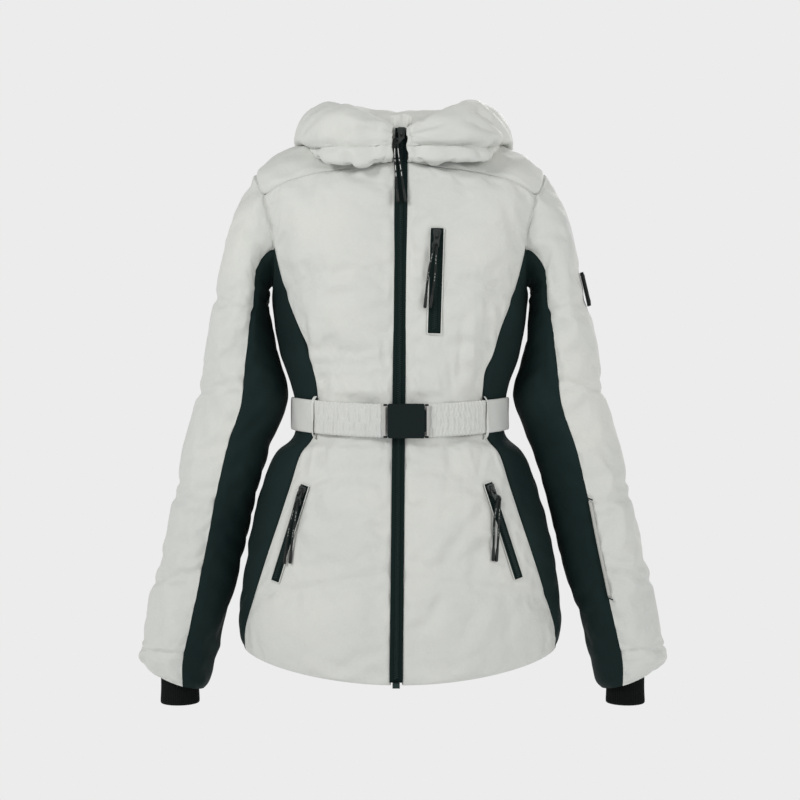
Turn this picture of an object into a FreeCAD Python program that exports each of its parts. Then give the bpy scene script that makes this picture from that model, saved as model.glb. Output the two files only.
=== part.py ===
import FreeCAD, Part
import math
import os

# Belted ski jacket, women's size M, in millimetres.
# Frame: origin at the centre of the neck opening, +Z up, front faces -Y, +X is the wearer's left.
# Left and right in node names are the wearer's left and right.

os.makedirs("parts", exist_ok=True)
V = FreeCAD.Vector

# ---- driving dimensions -------------------------------------------------------------------
HEM_Z = -670.0            # side of the hem
HEM_DIP_FRONT = 30.0      # how much lower the hem hangs at the front
HEM_DIP_BACK = 20.0
NECK_DIP_FRONT = 42.0     # how much lower the neck seam is at the front
NECK_RISE_BACK = 5.0
BUST_X, BUST_Z, BUST_RISE = 85.0, -215.0, 11.0
BUST_SPREAD_X, BUST_SPREAD_Z = 45.0, 55.0

ZIP_TOP_Z, ZIP_BOTTOM_Z = -9.0, -696.0
ZIP_STRAIGHT_Y, ZIP_SLOPE = 91.0, 0.07    # depth of the front line 42 mm below the origin, and its slope
ZIP_HALF_BAND = 8.4       # front panels stop this far from the zip's centre line
ZIP_LEAN = 0.0098         # sideways lean of the zip's centre line
ZIP_TOP_X = 2.0

SHELL_T = 1.2             # depths below the outer face
WADDING_IN, WADDING_OUT = 1.6, 7.0
BAG_IN, BAG_OUT = 7.4, 8.6
LINING_IN, LINING_OUT = 9.0, 10.0
SIDE_T = 2.6
SEAM_GAP = 0.8            # open seam between neighbouring panels
SEAM_GAP_DEG = 0.35
WADDING_GAP = 2.0         # the front wadding stops this far below the yoke's seam

BELT_HALF_WIDTH, BELT_FRONT, BELT_BACK, BELT_T = 141.5, 117.5, 101.5, 3.0
BELT_H, BELT_SIDE_Z, BELT_FRONT_DROP = 42.0, -368.0, 9.0
LOOP_DEG, LOOP_W, LOOP_H, LOOP_T, LOOP_REACH_IN = 48.3, 6.0, 55.0, 1.2, 2.7

BUCKLE_X, BUCKLE_W, BUCKLE_H, BUCKLE_T = 7.5, 46.0, 43.0, 6.0
BUCKLE_Z, BUCKLE_FACE_Y = -377.0, -121.5
BAR_T, BAR_REACH = 2.4, 5.0
TONGUE_W, TONGUE_H, TONGUE_T, POCKET_PLAY = 26.0, 26.0, 2.2, 0.4

CORD_D = 3.0
TIP_L, TIP_D = 17.0, 4.2

# Torso stations: height, half-width, back depth, squareness of the section.
TORSO = (
    (-670, 204, 150, 2.2), (-637, 208, 150, 2.2), (-598, 205, 148, 2.2), (-537, 196, 140, 2.2),
    (-475, 182, 128, 2.2), (-438, 170, 117, 2.2), (-415, 158, 108, 2.2), (-402, 143, 101, 2.2),
    (-390, 137, 97, 2.2), (-350, 136.5, 96, 2.2), (-330, 140, 97, 2.3), (-290, 154, 102, 2.3),
    (-258, 160, 107, 2.35), (-221, 164, 112, 2.4), (-190, 168, 115, 2.6), (-150, 172, 117, 2.9),
    (-110, 182, 113, 2.8), (-85, 189, 106, 2.5), (-65, 190, 99, 2.2), (-40, 170, 88, 1.8),
    (-21, 136, 76, 1.6), (-10, 108, 70, 1.7), (0, 78, 66, 2.0),
)
# Front depth below the straight part of the zip line: height, depth.
FRONT_LOW = (
    (-720, 150), (-637, 149), (-598, 145), (-537, 137), (-475, 127), (-437, 119),
    (-415, 114), (-402, 110.6), (-352, 110.6), (-338, 111.7),
)
# Seam between the white panels and the dark side panel: height, angle from the front.
SIDE_SEAM = (
    (-670, 77.3), (-660, 75.2), (-604, 64.4), (-552, 57.8), (-483, 51.4), (-445, 49.6),
    (-400, 50.5), (-350, 48.5), (-316, 46), (-263, 50), (-216, 57.7), (-190, 59.5),
    (-155, 61.5), (-130, 59.5), (-88, 61.5),
)
# Lower edge of the yoke, over the shoulder: angle from the front, height.
YOKE_EDGE = (
    (0, -10), (30, -32), (50, -66), (61, -86), (66, -84), (75, -68), (90, -58),
    (105, -68), (114, -84), (119, -89), (140, -80), (180, -72),
)
ARMHOLE_FLOOR = ((61, -157), (68, -180), (78, -198), (90, -204))
COLLAR_TOP = ((0, -9), (30, -4), (60, 10), (90, 20), (180, 27))
COLLAR_T = 3.0
COLLAR_GAP_DEG = 0.7      # gap between the collar's ends and the zip's tapes
COLLAR_LINING_IN, COLLAR_LINING_OUT = 3.8, 4.8

# Sleeve stations from the armhole down: outer x, z, inner x, z, half-depth.
SLEEVE = (
    (193, -62, 169, -198, 58), (211, -105, 170, -207, 62), (226, -165, 170, -217, 66),
    (241, -230, 168, -240, 68), (253, -300, 160, -292, 66), (262, -354, 147, -345, 64),
    (281, -421, 170, -412, 60), (295, -488, 189, -478, 58), (307, -540, 200, -528, 56),
    (321, -597, 213, -583, 54), (331, -652, 229, -638, 52), (336, -690, 239, -680, 48),
    (325, -714, 244, -702, 42),
)
# Share of the sleeve's length, cosine of the seam's angle from the outside.
SLEEVE_SEAM = (
    (0.0, -0.45), (0.22, -0.58), (0.30, -0.36), (0.43, -0.07), (0.64, -0.15), (1.0, -0.28),
)
SHOULDER_TIP = (193.0, -62.0)
LEFT_SLEEVE_SPREAD_DEG = 0.6

# Zips: top and bottom centre points (x, z), tape half-width.
CHEST_ZIP = ((46.5, -137.0), (42.5, -268.0), 8.0)
HAND_ZIPS = {
    "left": ((110.0, -455.0), (148.0, -573.0), 6.4),
    "right": ((-119.0, -458.0), (-156.0, -577.0), 6.4),
}
CHEST_ZIP_PROUD = 2.0
HAND_ZIP_PROUD = 1.0
WINDOW_PLAY = 0.8         # gap between a zip and the window it stands in
CHAIN_HALF, CHAIN_PROUD, CHAIN_DEEP = 2.5, 1.0, 1.5
TAPE_FROM, TAPE_TO = 0.2, 1.2
SLIDER_GAP, SLIDER_PLATE = 0.4, 1.4
PLATE_Y = -CHAIN_PROUD - SLIDER_GAP - SLIDER_PLATE      # outer face of the slider's plate
HINGE_Y, HINGE_Z = PLATE_Y - 1.6, -1.2                  # pull tab's bar, under the bridge
TAB_T, TAB_RING_R, TAB_HOLE_R, TAB_REACH = 1.8, 4.7, 2.9, 12.6
FOOT_H = 6.5              # retainer block at the bottom of the main zip
SLIDER_HALF_LENGTH = 7.0

# Hood sides: angle from the front, then inner edge, crest and outer edge as half-width and height.
HOOD_RINGS = (
    (0, 80, -8, 84, -4, 88, -46), (30, 80, 0, 86, 12, 104, -56), (55, 80, 12, 92, 31, 130, -38),
    (90, 80, 20, 100, 34, 141, -14), (125, 79, 24, 98, 35, 138, -44), (150, 78, 28, 94, 35, 126, -90),
)
HOOD_START_DEG, HOOD_END_DEG = 8.0, 135.0
HOOD_T = 5.0
CREST_SHARE = 0.3         # share of the section between the inner edge and the crest
# Hood crown down its centre: share of its length, y, z, half-width, side set-back, side droop.
CROWN = (
    (0, 73, 31, 62, 0, 14), (0.12, 84, 34, 84, 6, 26), (0.3, 104, 6, 112, 26, 40),
    (0.5, 119, -52, 120, 22, 30), (0.75, 125, -122, 106, 10, 14), (1, 123, -190, 66, 2, 6),
)
WING_CUT_Y = 70.0         # the sides stop here, clear of the hinged crown
CROWN_T = 12.0            # folded hood fabric behind the hood's lining

# Knitted wrist gaiter: share of its length, x, z, half-width, half-depth.
GAITER = (
    (0, 284, -688, 25, 34), (0.35, 285, -706, 25, 32), (0.6, 286, -722, 24, 30), (1, 286, -744, 25, 30),
)
LEFT_GAITER_SHIFT = 7.0
GAITER_T = 2.0

# Trim on the left sleeve, as shares of the sleeve's length.
BADGE_START, BADGE_LENGTH = 0.195, 0.055
PASS_ZIP_START, PASS_ZIP_LENGTH = 0.58, 0.19

# Cord routes from the tab's ring down: x, y, z.
CORDS = {
    "main_pull_cords": (
        ((-6.5, -97.1, -28), (-6.9, -96.4, -44), (-5.6, -97.0, -60), (-4.8, -97.8, -75), (-3.6, -98.8, -88)),
        ((-3.3, -97.1, -28), (-2.0, -96.4, -44), (0.4, -97.0, -59), (2.8, -97.8, -74), (4.6, -98.8, -88)),
    ),
    "chest_pull_cords": (
        ((42.5, -110.2, -160), (39.6, -110.3, -172), (36.3, -111.0, -188), (33.8, -112.0, -205),
         (32.3, -113.0, -221)),
        ((45.8, -110.2, -160), (44.5, -110.8, -175), (44.0, -111.6, -190), (42.3, -112.6, -206),
         (40.0, -113.4, -221)),
    ),
    "hand_left_pull_cords": (
        ((121.9, -107.0, -474), (118.6, -109.0, -489), (116.4, -113.4, -505), (116.2, -116.4, -520),
         (115.6, -119.2, -534)),
        ((124.5, -105.3, -474), (123.4, -107.0, -491), (122.6, -110.8, -507), (121.9, -114.0, -522),
         (120.6, -117.0, -535)),
    ),
    "hand_right_pull_cords": (
        ((-127.3, -105.1, -478), (-129.6, -104.2, -494), (-131.8, -105.6, -509), (-134.0, -107.2, -523),
         (-135.2, -109.4, -538)),
        ((-129.9, -103.3, -478), (-133.8, -101.6, -492), (-137.6, -101.6, -507), (-140.2, -103.0, -523),
         (-142.2, -105.0, -539)),
    ),
}

SAME_WAY = 1    # both edges of a ruled side run in the same direction


# ---- helpers ------------------------------------------------------------------------------
def smooth(table, x):
    """Monotone cubic through (x, value) pairs given in rising order."""
    xs = [row[0] for row in table]
    ys = [row[1] for row in table]
    if x <= xs[0]:
        return ys[0]
    if x >= xs[-1]:
        return ys[-1]
    k = max(i for i in range(len(xs) - 1) if xs[i] <= x)
    slopes = [(ys[i + 1] - ys[i]) / (xs[i + 1] - xs[i]) for i in range(len(xs) - 1)]

    def tangent(i):
        if i == 0 or i == len(xs) - 1 or slopes[i - 1] * slopes[i] <= 0:
            return 0.0
        return 2 * slopes[i - 1] * slopes[i] / (slopes[i - 1] + slopes[i])

    h = xs[k + 1] - xs[k]
    t = (x - xs[k]) / h
    a, b = tangent(k) * h, tangent(k + 1) * h
    rise = ys[k + 1] - ys[k]
    return ys[k] + a * t + (3 * rise - 2 * a - b) * t * t + (a + b - 2 * rise) * t ** 3


def column(table, index):
    return tuple((row[0], row[index]) for row in table)


HALF_WIDTH, BACK_DEPTH, SQUARENESS = (column(TORSO, i) for i in (1, 2, 3))


def ease(t):
    t = min(max(t, 0.0), 1.0)
    return t * t * (3 - 2 * t)


def section(theta, a, front, back, n):
    """Point on a superellipse at an angle in degrees from the front, positive towards +X."""
    s, c = math.sin(math.radians(theta)), math.cos(math.radians(theta))
    r = (abs(s) ** n + abs(c) ** n) ** (-1.0 / n)
    return a * s * r, (-front if c > 0 else -back) * c * r


def front_depth(z):
    if z > FRONT_LOW[-1][0]:
        return ZIP_STRAIGHT_Y - ZIP_SLOPE * (z + NECK_DIP_FRONT)
    return smooth(FRONT_LOW, z)


def zip_x(z):
    return ZIP_TOP_X + ZIP_LEAN * (z - ZIP_TOP_Z)


def dips(theta, z):
    c = math.cos(math.radians(theta))
    neck = -NECK_DIP_FRONT if c > 0 else NECK_RISE_BACK
    hem = -HEM_DIP_FRONT if c > 0 else -HEM_DIP_BACK
    return c * c * (neck * ease((z + 130.0) / 130.0) + hem * ease((-420.0 - z) / 250.0))


def torso(theta, z):
    """Outer face of the jacket's body, without sleeves, hood or belt."""
    level = z + dips(theta, z)
    a, k, n = smooth(HALF_WIDTH, z), smooth(BACK_DEPTH, z), smooth(SQUARENESS, z)
    x, y = section(theta, a, front_depth(level), k, n)
    if y < 0:
        across = (abs(x) - BUST_X) / BUST_SPREAD_X
        along = (level - BUST_Z) / BUST_SPREAD_Z
        y -= BUST_RISE * math.exp(-0.5 * (across ** 2 + along ** 2))
    return V(x, y, level)


def on_front(x, z):
    """Point of the torso's front at a given x and height."""
    level, theta = z, 0.0
    for _ in range(12):
        a, n = smooth(HALF_WIDTH, level), smooth(SQUARENESS, level)
        q = min(abs(x) / a, 0.999) ** n
        theta = math.degrees(math.atan((q / (1 - q)) ** (1.0 / n)))
        level += z - (level + dips(theta, level))
    return torso(math.copysign(theta, x), level)


def skin(surface, depth, columns, rows):
    """Smooth face at a depth below a surface(u, v); the surface's inside is on the side du x dv points to."""
    step = 0.02
    grid = []
    for i in range(columns + 1):
        line = []
        for j in range(rows + 1):
            u, v = i / columns, j / rows
            du = surface(min(u + step, 1), v) - surface(max(u - step, 0), v)
            dv = surface(u, min(v + step, 1)) - surface(u, max(v - step, 0))
            line.append(surface(u, v) + du.cross(dv).normalize() * depth)
        grid.append(line)
    face = Part.BSplineSurface()
    face.interpolate(grid)
    return face


def thick_patch(surface, outer, inner, columns, rows):
    """Closed solid between two depths below a four-sided surface."""
    near, far = skin(surface, outer, columns, rows), skin(surface, inner, columns, rows)
    faces = [near.toShape(), far.toShape()]
    u0, u1, v0, v1 = near.bounds()
    s0, s1, t0, t1 = far.bounds()
    borders = ((near.uIso(u0), far.uIso(s0)), (near.uIso(u1), far.uIso(s1)),
               (near.vIso(v0), far.vIso(t0)), (near.vIso(v1), far.vIso(t1)))
    for edge, other in borders:
        faces.append(Part.makeRuledSurface(edge.toShape(), other.toShape(), SAME_WAY))
    sewn = Part.makeCompound(faces)
    sewn.sewShape(0.01)
    solid = Part.makeSolid(sewn.Shells[0])
    if solid.Volume < 0:
        solid.reverse()
    return solid


def export(name, *solids):
    shape = solids[0] if len(solids) == 1 else Part.makeCompound(list(solids))
    shape.exportStep("parts/" + name + ".step")
    valid = all(s.isValid() and s.Volume > 0 for s in solids)
    print("%-22s solids %d  volume %9.0f  %s" % (name, len(shape.Solids), shape.Volume, "ok" if valid else "BAD"))


def box(x0, x1, y0, y1, z0, z1):
    return Part.makeBox(x1 - x0, y1 - y0, z1 - z0, V(x0, y0, z0))


def prism(outline, y0, y1):
    """Solid with an outline of (x, z) points, between two y planes."""
    points = [V(x, y0, z) for x, z in outline]
    return Part.Face(Part.makePolygon(points + points[:1])).extrude(V(0, y1 - y0, 0))


def mirrored(side):
    return 1 if side == "left" else -1


# ---- torso panels -------------------------------------------------------------------------
def zip_edge_angle(sign, z):
    """Angle at which the front panel of one side meets the zip band."""
    reach = ZIP_HALF_BAND + sign * zip_x(z)
    return math.degrees(math.atan(reach / smooth(HALF_WIDTH, z)))


def front_panel(side, gap=SEAM_GAP):
    sign = mirrored(side)

    def surface(u, v):
        start = zip_edge_angle(sign, -10)
        top_angle = start + (61 - start) * u
        top = smooth(YOKE_EDGE, top_angle) - gap
        z = top + (HEM_Z - top) * v
        inner = zip_edge_angle(sign, z)
        theta = inner + (smooth(SIDE_SEAM, z) - SEAM_GAP_DEG - inner) * u
        return torso(sign * theta, z)

    return surface if sign > 0 else lambda u, v: surface(1 - u, v)


def back_panel(u, v):
    spread = 1 - 2 * u
    top = smooth(YOKE_EDGE, 180 - 61 * abs(spread)) - SEAM_GAP
    z = top + (HEM_Z - top) * v
    return torso(180 - spread * (smooth(SIDE_SEAM, z) - SEAM_GAP_DEG), z)


def side_panel(side):
    sign = mirrored(side)

    def surface(u, v):
        spread = 2 * u - 1
        top = smooth(ARMHOLE_FLOOR, 90 - 29 * abs(spread))
        z = top + (HEM_Z - top) * v
        return torso(sign * (90 + spread * (90 - smooth(SIDE_SEAM, z) - SEAM_GAP_DEG)), z)

    return surface if sign > 0 else lambda u, v: surface(1 - u, v)


def yoke(side):
    sign = mirrored(side)

    def surface(u, v):
        start = zip_edge_angle(sign, -5)
        theta = start + (179.7 - start) * u
        return torso(sign * theta, smooth(YOKE_EDGE, theta) * v)

    return surface if sign > 0 else lambda u, v: surface(1 - u, v)


def collar(u, v):
    start = zip_edge_angle(1, 0) + COLLAR_GAP_DEG
    end = 360 - zip_edge_angle(-1, 0) - COLLAR_GAP_DEG
    theta = start + (end - start) * u
    base = torso(theta, 0).z + SEAM_GAP
    top = smooth(COLLAR_TOP, min(theta, 360 - theta))
    z = top + (base - top) * v
    x, y = section(theta, 73 + 5 * v, front_depth(z), 64 + 2 * v, 2.0)
    return V(x, y, z)


def build_torso():
    windows = [zip_window(CHEST_ZIP, CHEST_ZIP_PROUD)]
    for side in ("left", "right"):
        windows.append(zip_window(HAND_ZIPS[side], HAND_ZIP_PROUD))
    lining, yoke_wadding = [], []
    for side in ("left", "right"):
        front, flank, shoulder = front_panel(side), side_panel(side), yoke(side)
        cuts = [w for w in windows if w.BoundBox.Center.x * mirrored(side) > 0]
        shell = thick_patch(front, 0, SHELL_T, 18, 60)
        wadding = thick_patch(front_panel(side, WADDING_GAP), WADDING_IN, WADDING_OUT, 18, 60)
        for window in cuts:
            shell = shell.cut(window).Solids[0]
            wadding = wadding.cut(window).Solids[0]
        export("front_shell_" + side, shell)
        export("wadding_front_" + side, wadding)
        export("yoke_shell_" + side, thick_patch(shoulder, 0, SHELL_T, 60, 10))
        yoke_wadding.append(thick_patch(shoulder, WADDING_IN, WADDING_OUT, 60, 10))
        export("side_panel_" + side, thick_patch(flank, 0, SIDE_T, 16, 48))
        lining.append(thick_patch(front, LINING_IN, LINING_OUT, 18, 60))
        lining.append(thick_patch(flank, LINING_IN, LINING_OUT, 16, 48))
        lining.append(thick_patch(shoulder, LINING_IN, LINING_OUT, 60, 10))
    export("back_shell", thick_patch(back_panel, 0, SHELL_T, 30, 60))
    export("wadding_back", thick_patch(back_panel, WADDING_IN, WADDING_OUT, 30, 60))
    lining.append(thick_patch(back_panel, LINING_IN, LINING_OUT, 30, 60))
    export("wadding_yoke", *yoke_wadding)
    export("body_lining", *lining)
    export("collar_shell", thick_patch(collar, 0, COLLAR_T, 48, 6))
    export("collar_lining", thick_patch(collar, COLLAR_LINING_IN, COLLAR_LINING_OUT, 48, 6))


# ---- zips ---------------------------------------------------------------------------------
def zip_frame(top, bottom, proud):
    """Top of a pocket zip, its cross, outward and up directions, and its length."""
    high, low = on_front(*top), on_front(*bottom)
    up = (high - low).normalize()
    side_step = 6.0 if top[0] > 0 else -6.0
    middle = ((top[0] + bottom[0]) / 2, (top[1] + bottom[1]) / 2)
    across = on_front(middle[0] + side_step, middle[1]) - on_front(middle[0] - side_step, middle[1])
    outward = up.cross(across) if across.x < 0 else across.cross(up)
    outward = outward.normalize()
    if outward.y > 0:
        outward = outward * -1
    return high + outward * proud, up.cross(outward), outward, up, (high - low).Length


def placed(shape, origin, cross, outward, up):
    """Move a shape made in zip coordinates: x across, -y outward, z up."""
    copy = shape.copy()
    back = outward * -1
    matrix = FreeCAD.Matrix(cross.x, back.x, up.x, origin.x,
                            cross.y, back.y, up.y, origin.y,
                            cross.z, back.z, up.z, origin.z,
                            0, 0, 0, 1)
    copy.Placement = FreeCAD.Placement(matrix)
    return copy


def zip_window(line, proud):
    """Opening that a pocket zip needs in the panel it is sewn to."""
    top, bottom, half_width = line
    origin, cross, outward, up, length = zip_frame(top, bottom, proud)
    reach = half_width + WINDOW_PLAY
    hole = box(-reach, reach, -8, 10, -length - 2 * WINDOW_PLAY, WINDOW_PLAY)
    return placed(hole, origin, cross, outward, up)


def pocket_zip(length, half_width):
    """Two tapes and the closed chain between them, hanging down from the zip's top."""
    tapes = [box(CHAIN_HALF + 0.3, half_width, TAPE_FROM, TAPE_TO, -length, 0),
             box(-half_width, -CHAIN_HALF - 0.3, TAPE_FROM, TAPE_TO, -length, 0)]
    chain = box(-CHAIN_HALF, CHAIN_HALF, -CHAIN_PROUD, CHAIN_DEEP, -length + 2, -1)
    return tapes + [chain]


def slider_body():
    """Slider with its cheeks over the chain and its bridge, centred on z = 0."""
    outline = ((-3.8, -7), (3.8, -7), (4.4, -1), (5.2, 3), (5.2, 5.6), (3.6, 7),
               (-3.6, 7), (-5.2, 5.6), (-5.2, 3), (-4.4, -1))
    plate = prism(outline, PLATE_Y, PLATE_Y + SLIDER_PLATE)
    cheeks = prism(outline, PLATE_Y + SLIDER_PLATE, TAPE_FROM - 0.4)
    cheeks = cheeks.cut(box(-CHAIN_HALF - 0.4, CHAIN_HALF + 0.4, PLATE_Y, 1, -8, 8))
    bridge = box(-1.0, 1.0, PLATE_Y - 4.4, PLATE_Y, -4.0, 5.0)
    ridge = [e for e in bridge.Edges if abs(e.BoundBox.Center.y - PLATE_Y + 4.4) < 0.01
             and e.BoundBox.XLength > 1.9]
    bridge = bridge.makeFillet(1.6, ridge)
    bridge = bridge.cut(box(-2, 2, PLATE_Y - 3.2, PLATE_Y, -2.8, 3.8))
    body = plate.fuse(cheeks).fuse(bridge).removeSplitter()
    return body.Solids[0]


def pull_tab(lean_deg):
    """Tab with a slot for the bridge and a ring for the cord; its ring leans sideways."""
    lean = math.radians(lean_deg)
    y0 = HINGE_Y - TAB_T / 2
    eye = box(-3.4, 3.4, y0, y0 + TAB_T, HINGE_Z - 7.4, HINGE_Z + 0.9)
    ring_x, ring_z = TAB_REACH * math.sin(lean), HINGE_Z - TAB_REACH * math.cos(lean)
    side_x, side_z = math.cos(lean) * TAB_RING_R, math.sin(lean) * TAB_RING_R
    web = prism(((-3.4, HINGE_Z - 6.2), (3.4, HINGE_Z - 6.2),
                 (ring_x + side_x, ring_z + side_z), (ring_x - side_x, ring_z - side_z)), y0, y0 + TAB_T)
    disc = Part.makeCylinder(TAB_RING_R, TAB_T, V(ring_x, y0, ring_z), V(0, 1, 0))
    hole = Part.makeCylinder(TAB_HOLE_R, TAB_T + 2, V(ring_x, y0 - 1, ring_z), V(0, 1, 0))
    slot = box(-2.2, 2.2, y0 - 1, y0 + TAB_T + 1, HINGE_Z - 5.6, HINGE_Z - 0.75)
    return eye.fuse(web).fuse(disc).removeSplitter().cut(hole).cut(slot).Solids[0]


def tube_radii(points):
    """Largest arc at each inner point: 0.45 of the shorter run over the tangent of half the turn."""
    radii = []
    for before, here, after in zip(points, points[1:], points[2:]):
        turn = (here - before).getAngle(after - here)
        shorter = min((here - before).Length, (after - here).Length)
        radii.append(0.45 * shorter / math.tan(turn / 2))
    return radii


def tube(points, diameter):
    """Round tube along straight runs joined by tangent arcs."""
    edges, start = [], points[0]
    for before, here, after, radius in zip(points, points[1:], points[2:], tube_radii(points)):
        into, out = (here - before).normalize(), (after - here).normalize()
        cut = radius * math.tan(into.getAngle(out) / 2)
        begin, end = here - into * cut, here + out * cut
        inward = (out - into).normalize()
        centre = begin + (inward - into * inward.dot(into)).normalize() * radius
        middle = centre - inward * radius
        edges += [Part.LineSegment(start, begin).toShape(), Part.Arc(begin, middle, end).toShape()]
        start = end
    edges.append(Part.LineSegment(start, points[-1]).toShape())
    first = (points[1] - points[0]).normalize()
    ring = Part.Wire(Part.makeCircle(diameter / 2, points[0], first))
    return Part.Wire(edges).makePipeShell([ring], True, False), sum(e.Length for e in edges)


def pull_cords(name, strands):
    """Two cord strands with a moulded tip on each."""
    solids = []
    for strand in strands:
        points = [V(*p) for p in strand]
        solid, length = tube(points, CORD_D)
        along = (points[-1] - points[-2]).normalize()
        tip = Part.makeCone(CORD_D / 2 + 0.1, TIP_D / 2, TIP_L, points[-1], along)
        section_area = math.pi * CORD_D ** 2 / 4
        print("%s strand: length %.1f  radii %s  volume ratio %.3f" % (
            name, length, [round(r) for r in tube_radii(points)], solid.Volume / (section_area * length)))
        solids += [solid.Solids[0] if solid.Solids else solid, tip]
    export(name, *solids)


def front_line_patch(x0, x1, outer, inner):
    """Strip that follows the zip's centre line down the front."""
    def surface(u, v):
        z = ZIP_TOP_Z + (ZIP_BOTTOM_Z - ZIP_TOP_Z) * v
        return V(zip_x(z) + x0 + (x1 - x0) * u, -front_depth(z), z)
    return thick_patch(surface, outer, inner, 2, 60)


def build_zips():
    left_tape = front_line_patch(CHAIN_HALF + 0.3, ZIP_HALF_BAND - 0.4, TAPE_FROM, TAPE_TO)
    right_tape = front_line_patch(-ZIP_HALF_BAND + 0.4, -CHAIN_HALF - 0.3, TAPE_FROM, TAPE_TO)
    export("main_zip_tapes", left_tape, right_tape)
    export("main_zip_teeth", front_line_patch(-CHAIN_HALF, CHAIN_HALF, -CHAIN_PROUD, CHAIN_DEEP))
    foot = box(-4.5, 4.5, -3.0, 2.6, -FOOT_H, 0)
    foot = foot.makeFillet(1.0, [e for e in foot.Edges if e.BoundBox.YLength < 0.01
                                 and e.BoundBox.Center.y < 0])
    foot.translate(V(zip_x(ZIP_BOTTOM_Z), -front_depth(ZIP_BOTTOM_Z), ZIP_BOTTOM_Z - 0.3))
    export("main_zip_retainer", foot)

    main_up = V(ZIP_LEAN, ZIP_SLOPE, 1).normalize()
    main_z = ZIP_TOP_Z - SLIDER_HALF_LENGTH - 0.5
    main_at = V(zip_x(main_z), -front_depth(main_z), main_z)
    main_out = V(0, -1, ZIP_SLOPE).normalize()
    main_out = (main_out - main_up * main_out.dot(main_up)).normalize()
    pulls = {"main": (main_at, main_up.cross(main_out), main_out, main_up, -32)}
    zips = {"chest": (CHEST_ZIP, CHEST_ZIP_PROUD, -6),
            "hand_left": (HAND_ZIPS["left"], HAND_ZIP_PROUD, 14),
            "hand_right": (HAND_ZIPS["right"], HAND_ZIP_PROUD, 8)}
    for name, (line, proud, lean) in zips.items():
        top, bottom, half_width = line
        origin, cross, outward, up, length = zip_frame(top, bottom, proud)
        parts = [placed(p, origin, cross, outward, up) for p in pocket_zip(length, half_width)]
        export(name + "_zip" if name == "chest" else "hand_zip_" + name[5:], *parts)
        pulls[name] = (origin - up * (SLIDER_HALF_LENGTH + 1.5), cross, outward, up, lean)
    for name, (at, cross, outward, up, lean) in pulls.items():
        export(name + "_slider", placed(slider_body(), at, cross, outward, up))
        export(name + "_pull_tab", placed(pull_tab(lean), at, cross, outward, up))
        hinge = at - outward * HINGE_Y + up * HINGE_Z
        reach = math.radians(lean)
        ring = hinge + cross * TAB_REACH * math.sin(reach) - up * TAB_REACH * math.cos(reach)
        print("%s: hinge %s  cross %s  up %s  ring %s" % (name, hinge, cross, up, ring))


# ---- pockets ------------------------------------------------------------------------------
def pocket_bag(x_at_left, x_at_right, top, bottom):
    """Flat bag behind a pocket zip; its side edges are given as functions of height."""
    def surface(u, v):
        z = top + (bottom - top) * v
        return on_front(x_at_left(z) + (x_at_right(z) - x_at_left(z)) * u, z)
    return thick_patch(surface, BAG_IN, BAG_OUT, 10, 14)


def build_pockets():
    export("chest_pocket_bag", pocket_bag(lambda z: 20.0, lambda z: 84.0, -132.0, -286.0))
    for side in ("left", "right"):
        (x0, z0), (x1, z1), half_width = HAND_ZIPS[side]
        sign = mirrored(side)

        def along_zip(z):
            return x0 + (x1 - x0) * (z - z0) / (z1 - z0) + 7.0 * sign

        def towards_front(z):
            return along_zip(z) - 84.0 * sign

        edges = (towards_front, along_zip) if sign > 0 else (along_zip, towards_front)
        export("hand_pocket_bag_" + side, pocket_bag(*edges, z0 - 2, z1 - 14))


# ---- belt ---------------------------------------------------------------------------------
def belt_centre_z(theta):
    c = math.cos(math.radians(theta))
    return BELT_SIDE_Z - (BELT_FRONT_DROP * c * c if c > 0 else 0)


def belt_band(theta0, theta1):
    def surface(u, v):
        theta = theta0 + (theta1 - theta0) * u
        x, y = section(theta, BELT_HALF_WIDTH, BELT_FRONT, BELT_BACK, 2.2)
        return V(x, y, belt_centre_z(theta) + BELT_H * (0.5 - v))
    return thick_patch(surface, 0, BELT_T, max(8, int(abs(theta1 - theta0) / 5)), 2)


def belt_angle(x):
    """Angle at which the belt passes a given x at the front."""
    q = (abs(x) / BELT_HALF_WIDTH) ** 2.2
    return math.copysign(math.degrees(math.atan((q / (1 - q)) ** (1 / 2.2))), x)


def belt_loop(theta):
    """Narrow strap standing over the belt, with its two sewn ends turned in to the shell."""
    x, y = section(theta, BELT_HALF_WIDTH, BELT_FRONT, BELT_BACK, 2.2)
    x2, y2 = section(theta + 1, BELT_HALF_WIDTH, BELT_FRONT, BELT_BACK, 2.2)
    z = belt_centre_z(theta) - 1.5
    half_w, half_h, out = LOOP_W / 2, LOOP_H / 2, 0.5
    strap = box(-half_w, half_w, -out - LOOP_T, -out, -half_h, half_h)
    for end in (-1, 1):
        inner, outer = sorted((end * (half_h - LOOP_T), end * half_h))
        strap = strap.fuse(box(-half_w, half_w, -out - LOOP_T, LOOP_REACH_IN, inner, outer))
    strap = strap.removeSplitter().Solids[0]
    strap = strap.makeFillet(0.5, [e for e in strap.Edges if e.BoundBox.Center.y < -out - LOOP_T + 0.01
                                   and e.BoundBox.XLength > LOOP_W - 0.1])
    cross = V(x2 - x, y2 - y, 0).normalize()
    outward = cross.cross(V(0, 0, 1))
    return placed(strap, V(x, y, z), cross, outward, V(0, 0, 1))


def build_belt():
    right_end = belt_angle(BUCKLE_X - BUCKLE_W / 2 - BAR_REACH - 1.5)
    left_end = belt_angle(BUCKLE_X + BUCKLE_W / 2 + BAR_REACH + 1.5)
    export("belt_elastic_left", belt_band(left_end, LOOP_DEG - 0.2))
    export("belt_elastic_right", belt_band(-LOOP_DEG + 0.2, right_end))
    export("belt_back", belt_band(LOOP_DEG + 0.2, 360 - LOOP_DEG - 0.2))
    export("belt_loops", belt_loop(LOOP_DEG), belt_loop(-LOOP_DEG), belt_loop(180))


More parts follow.
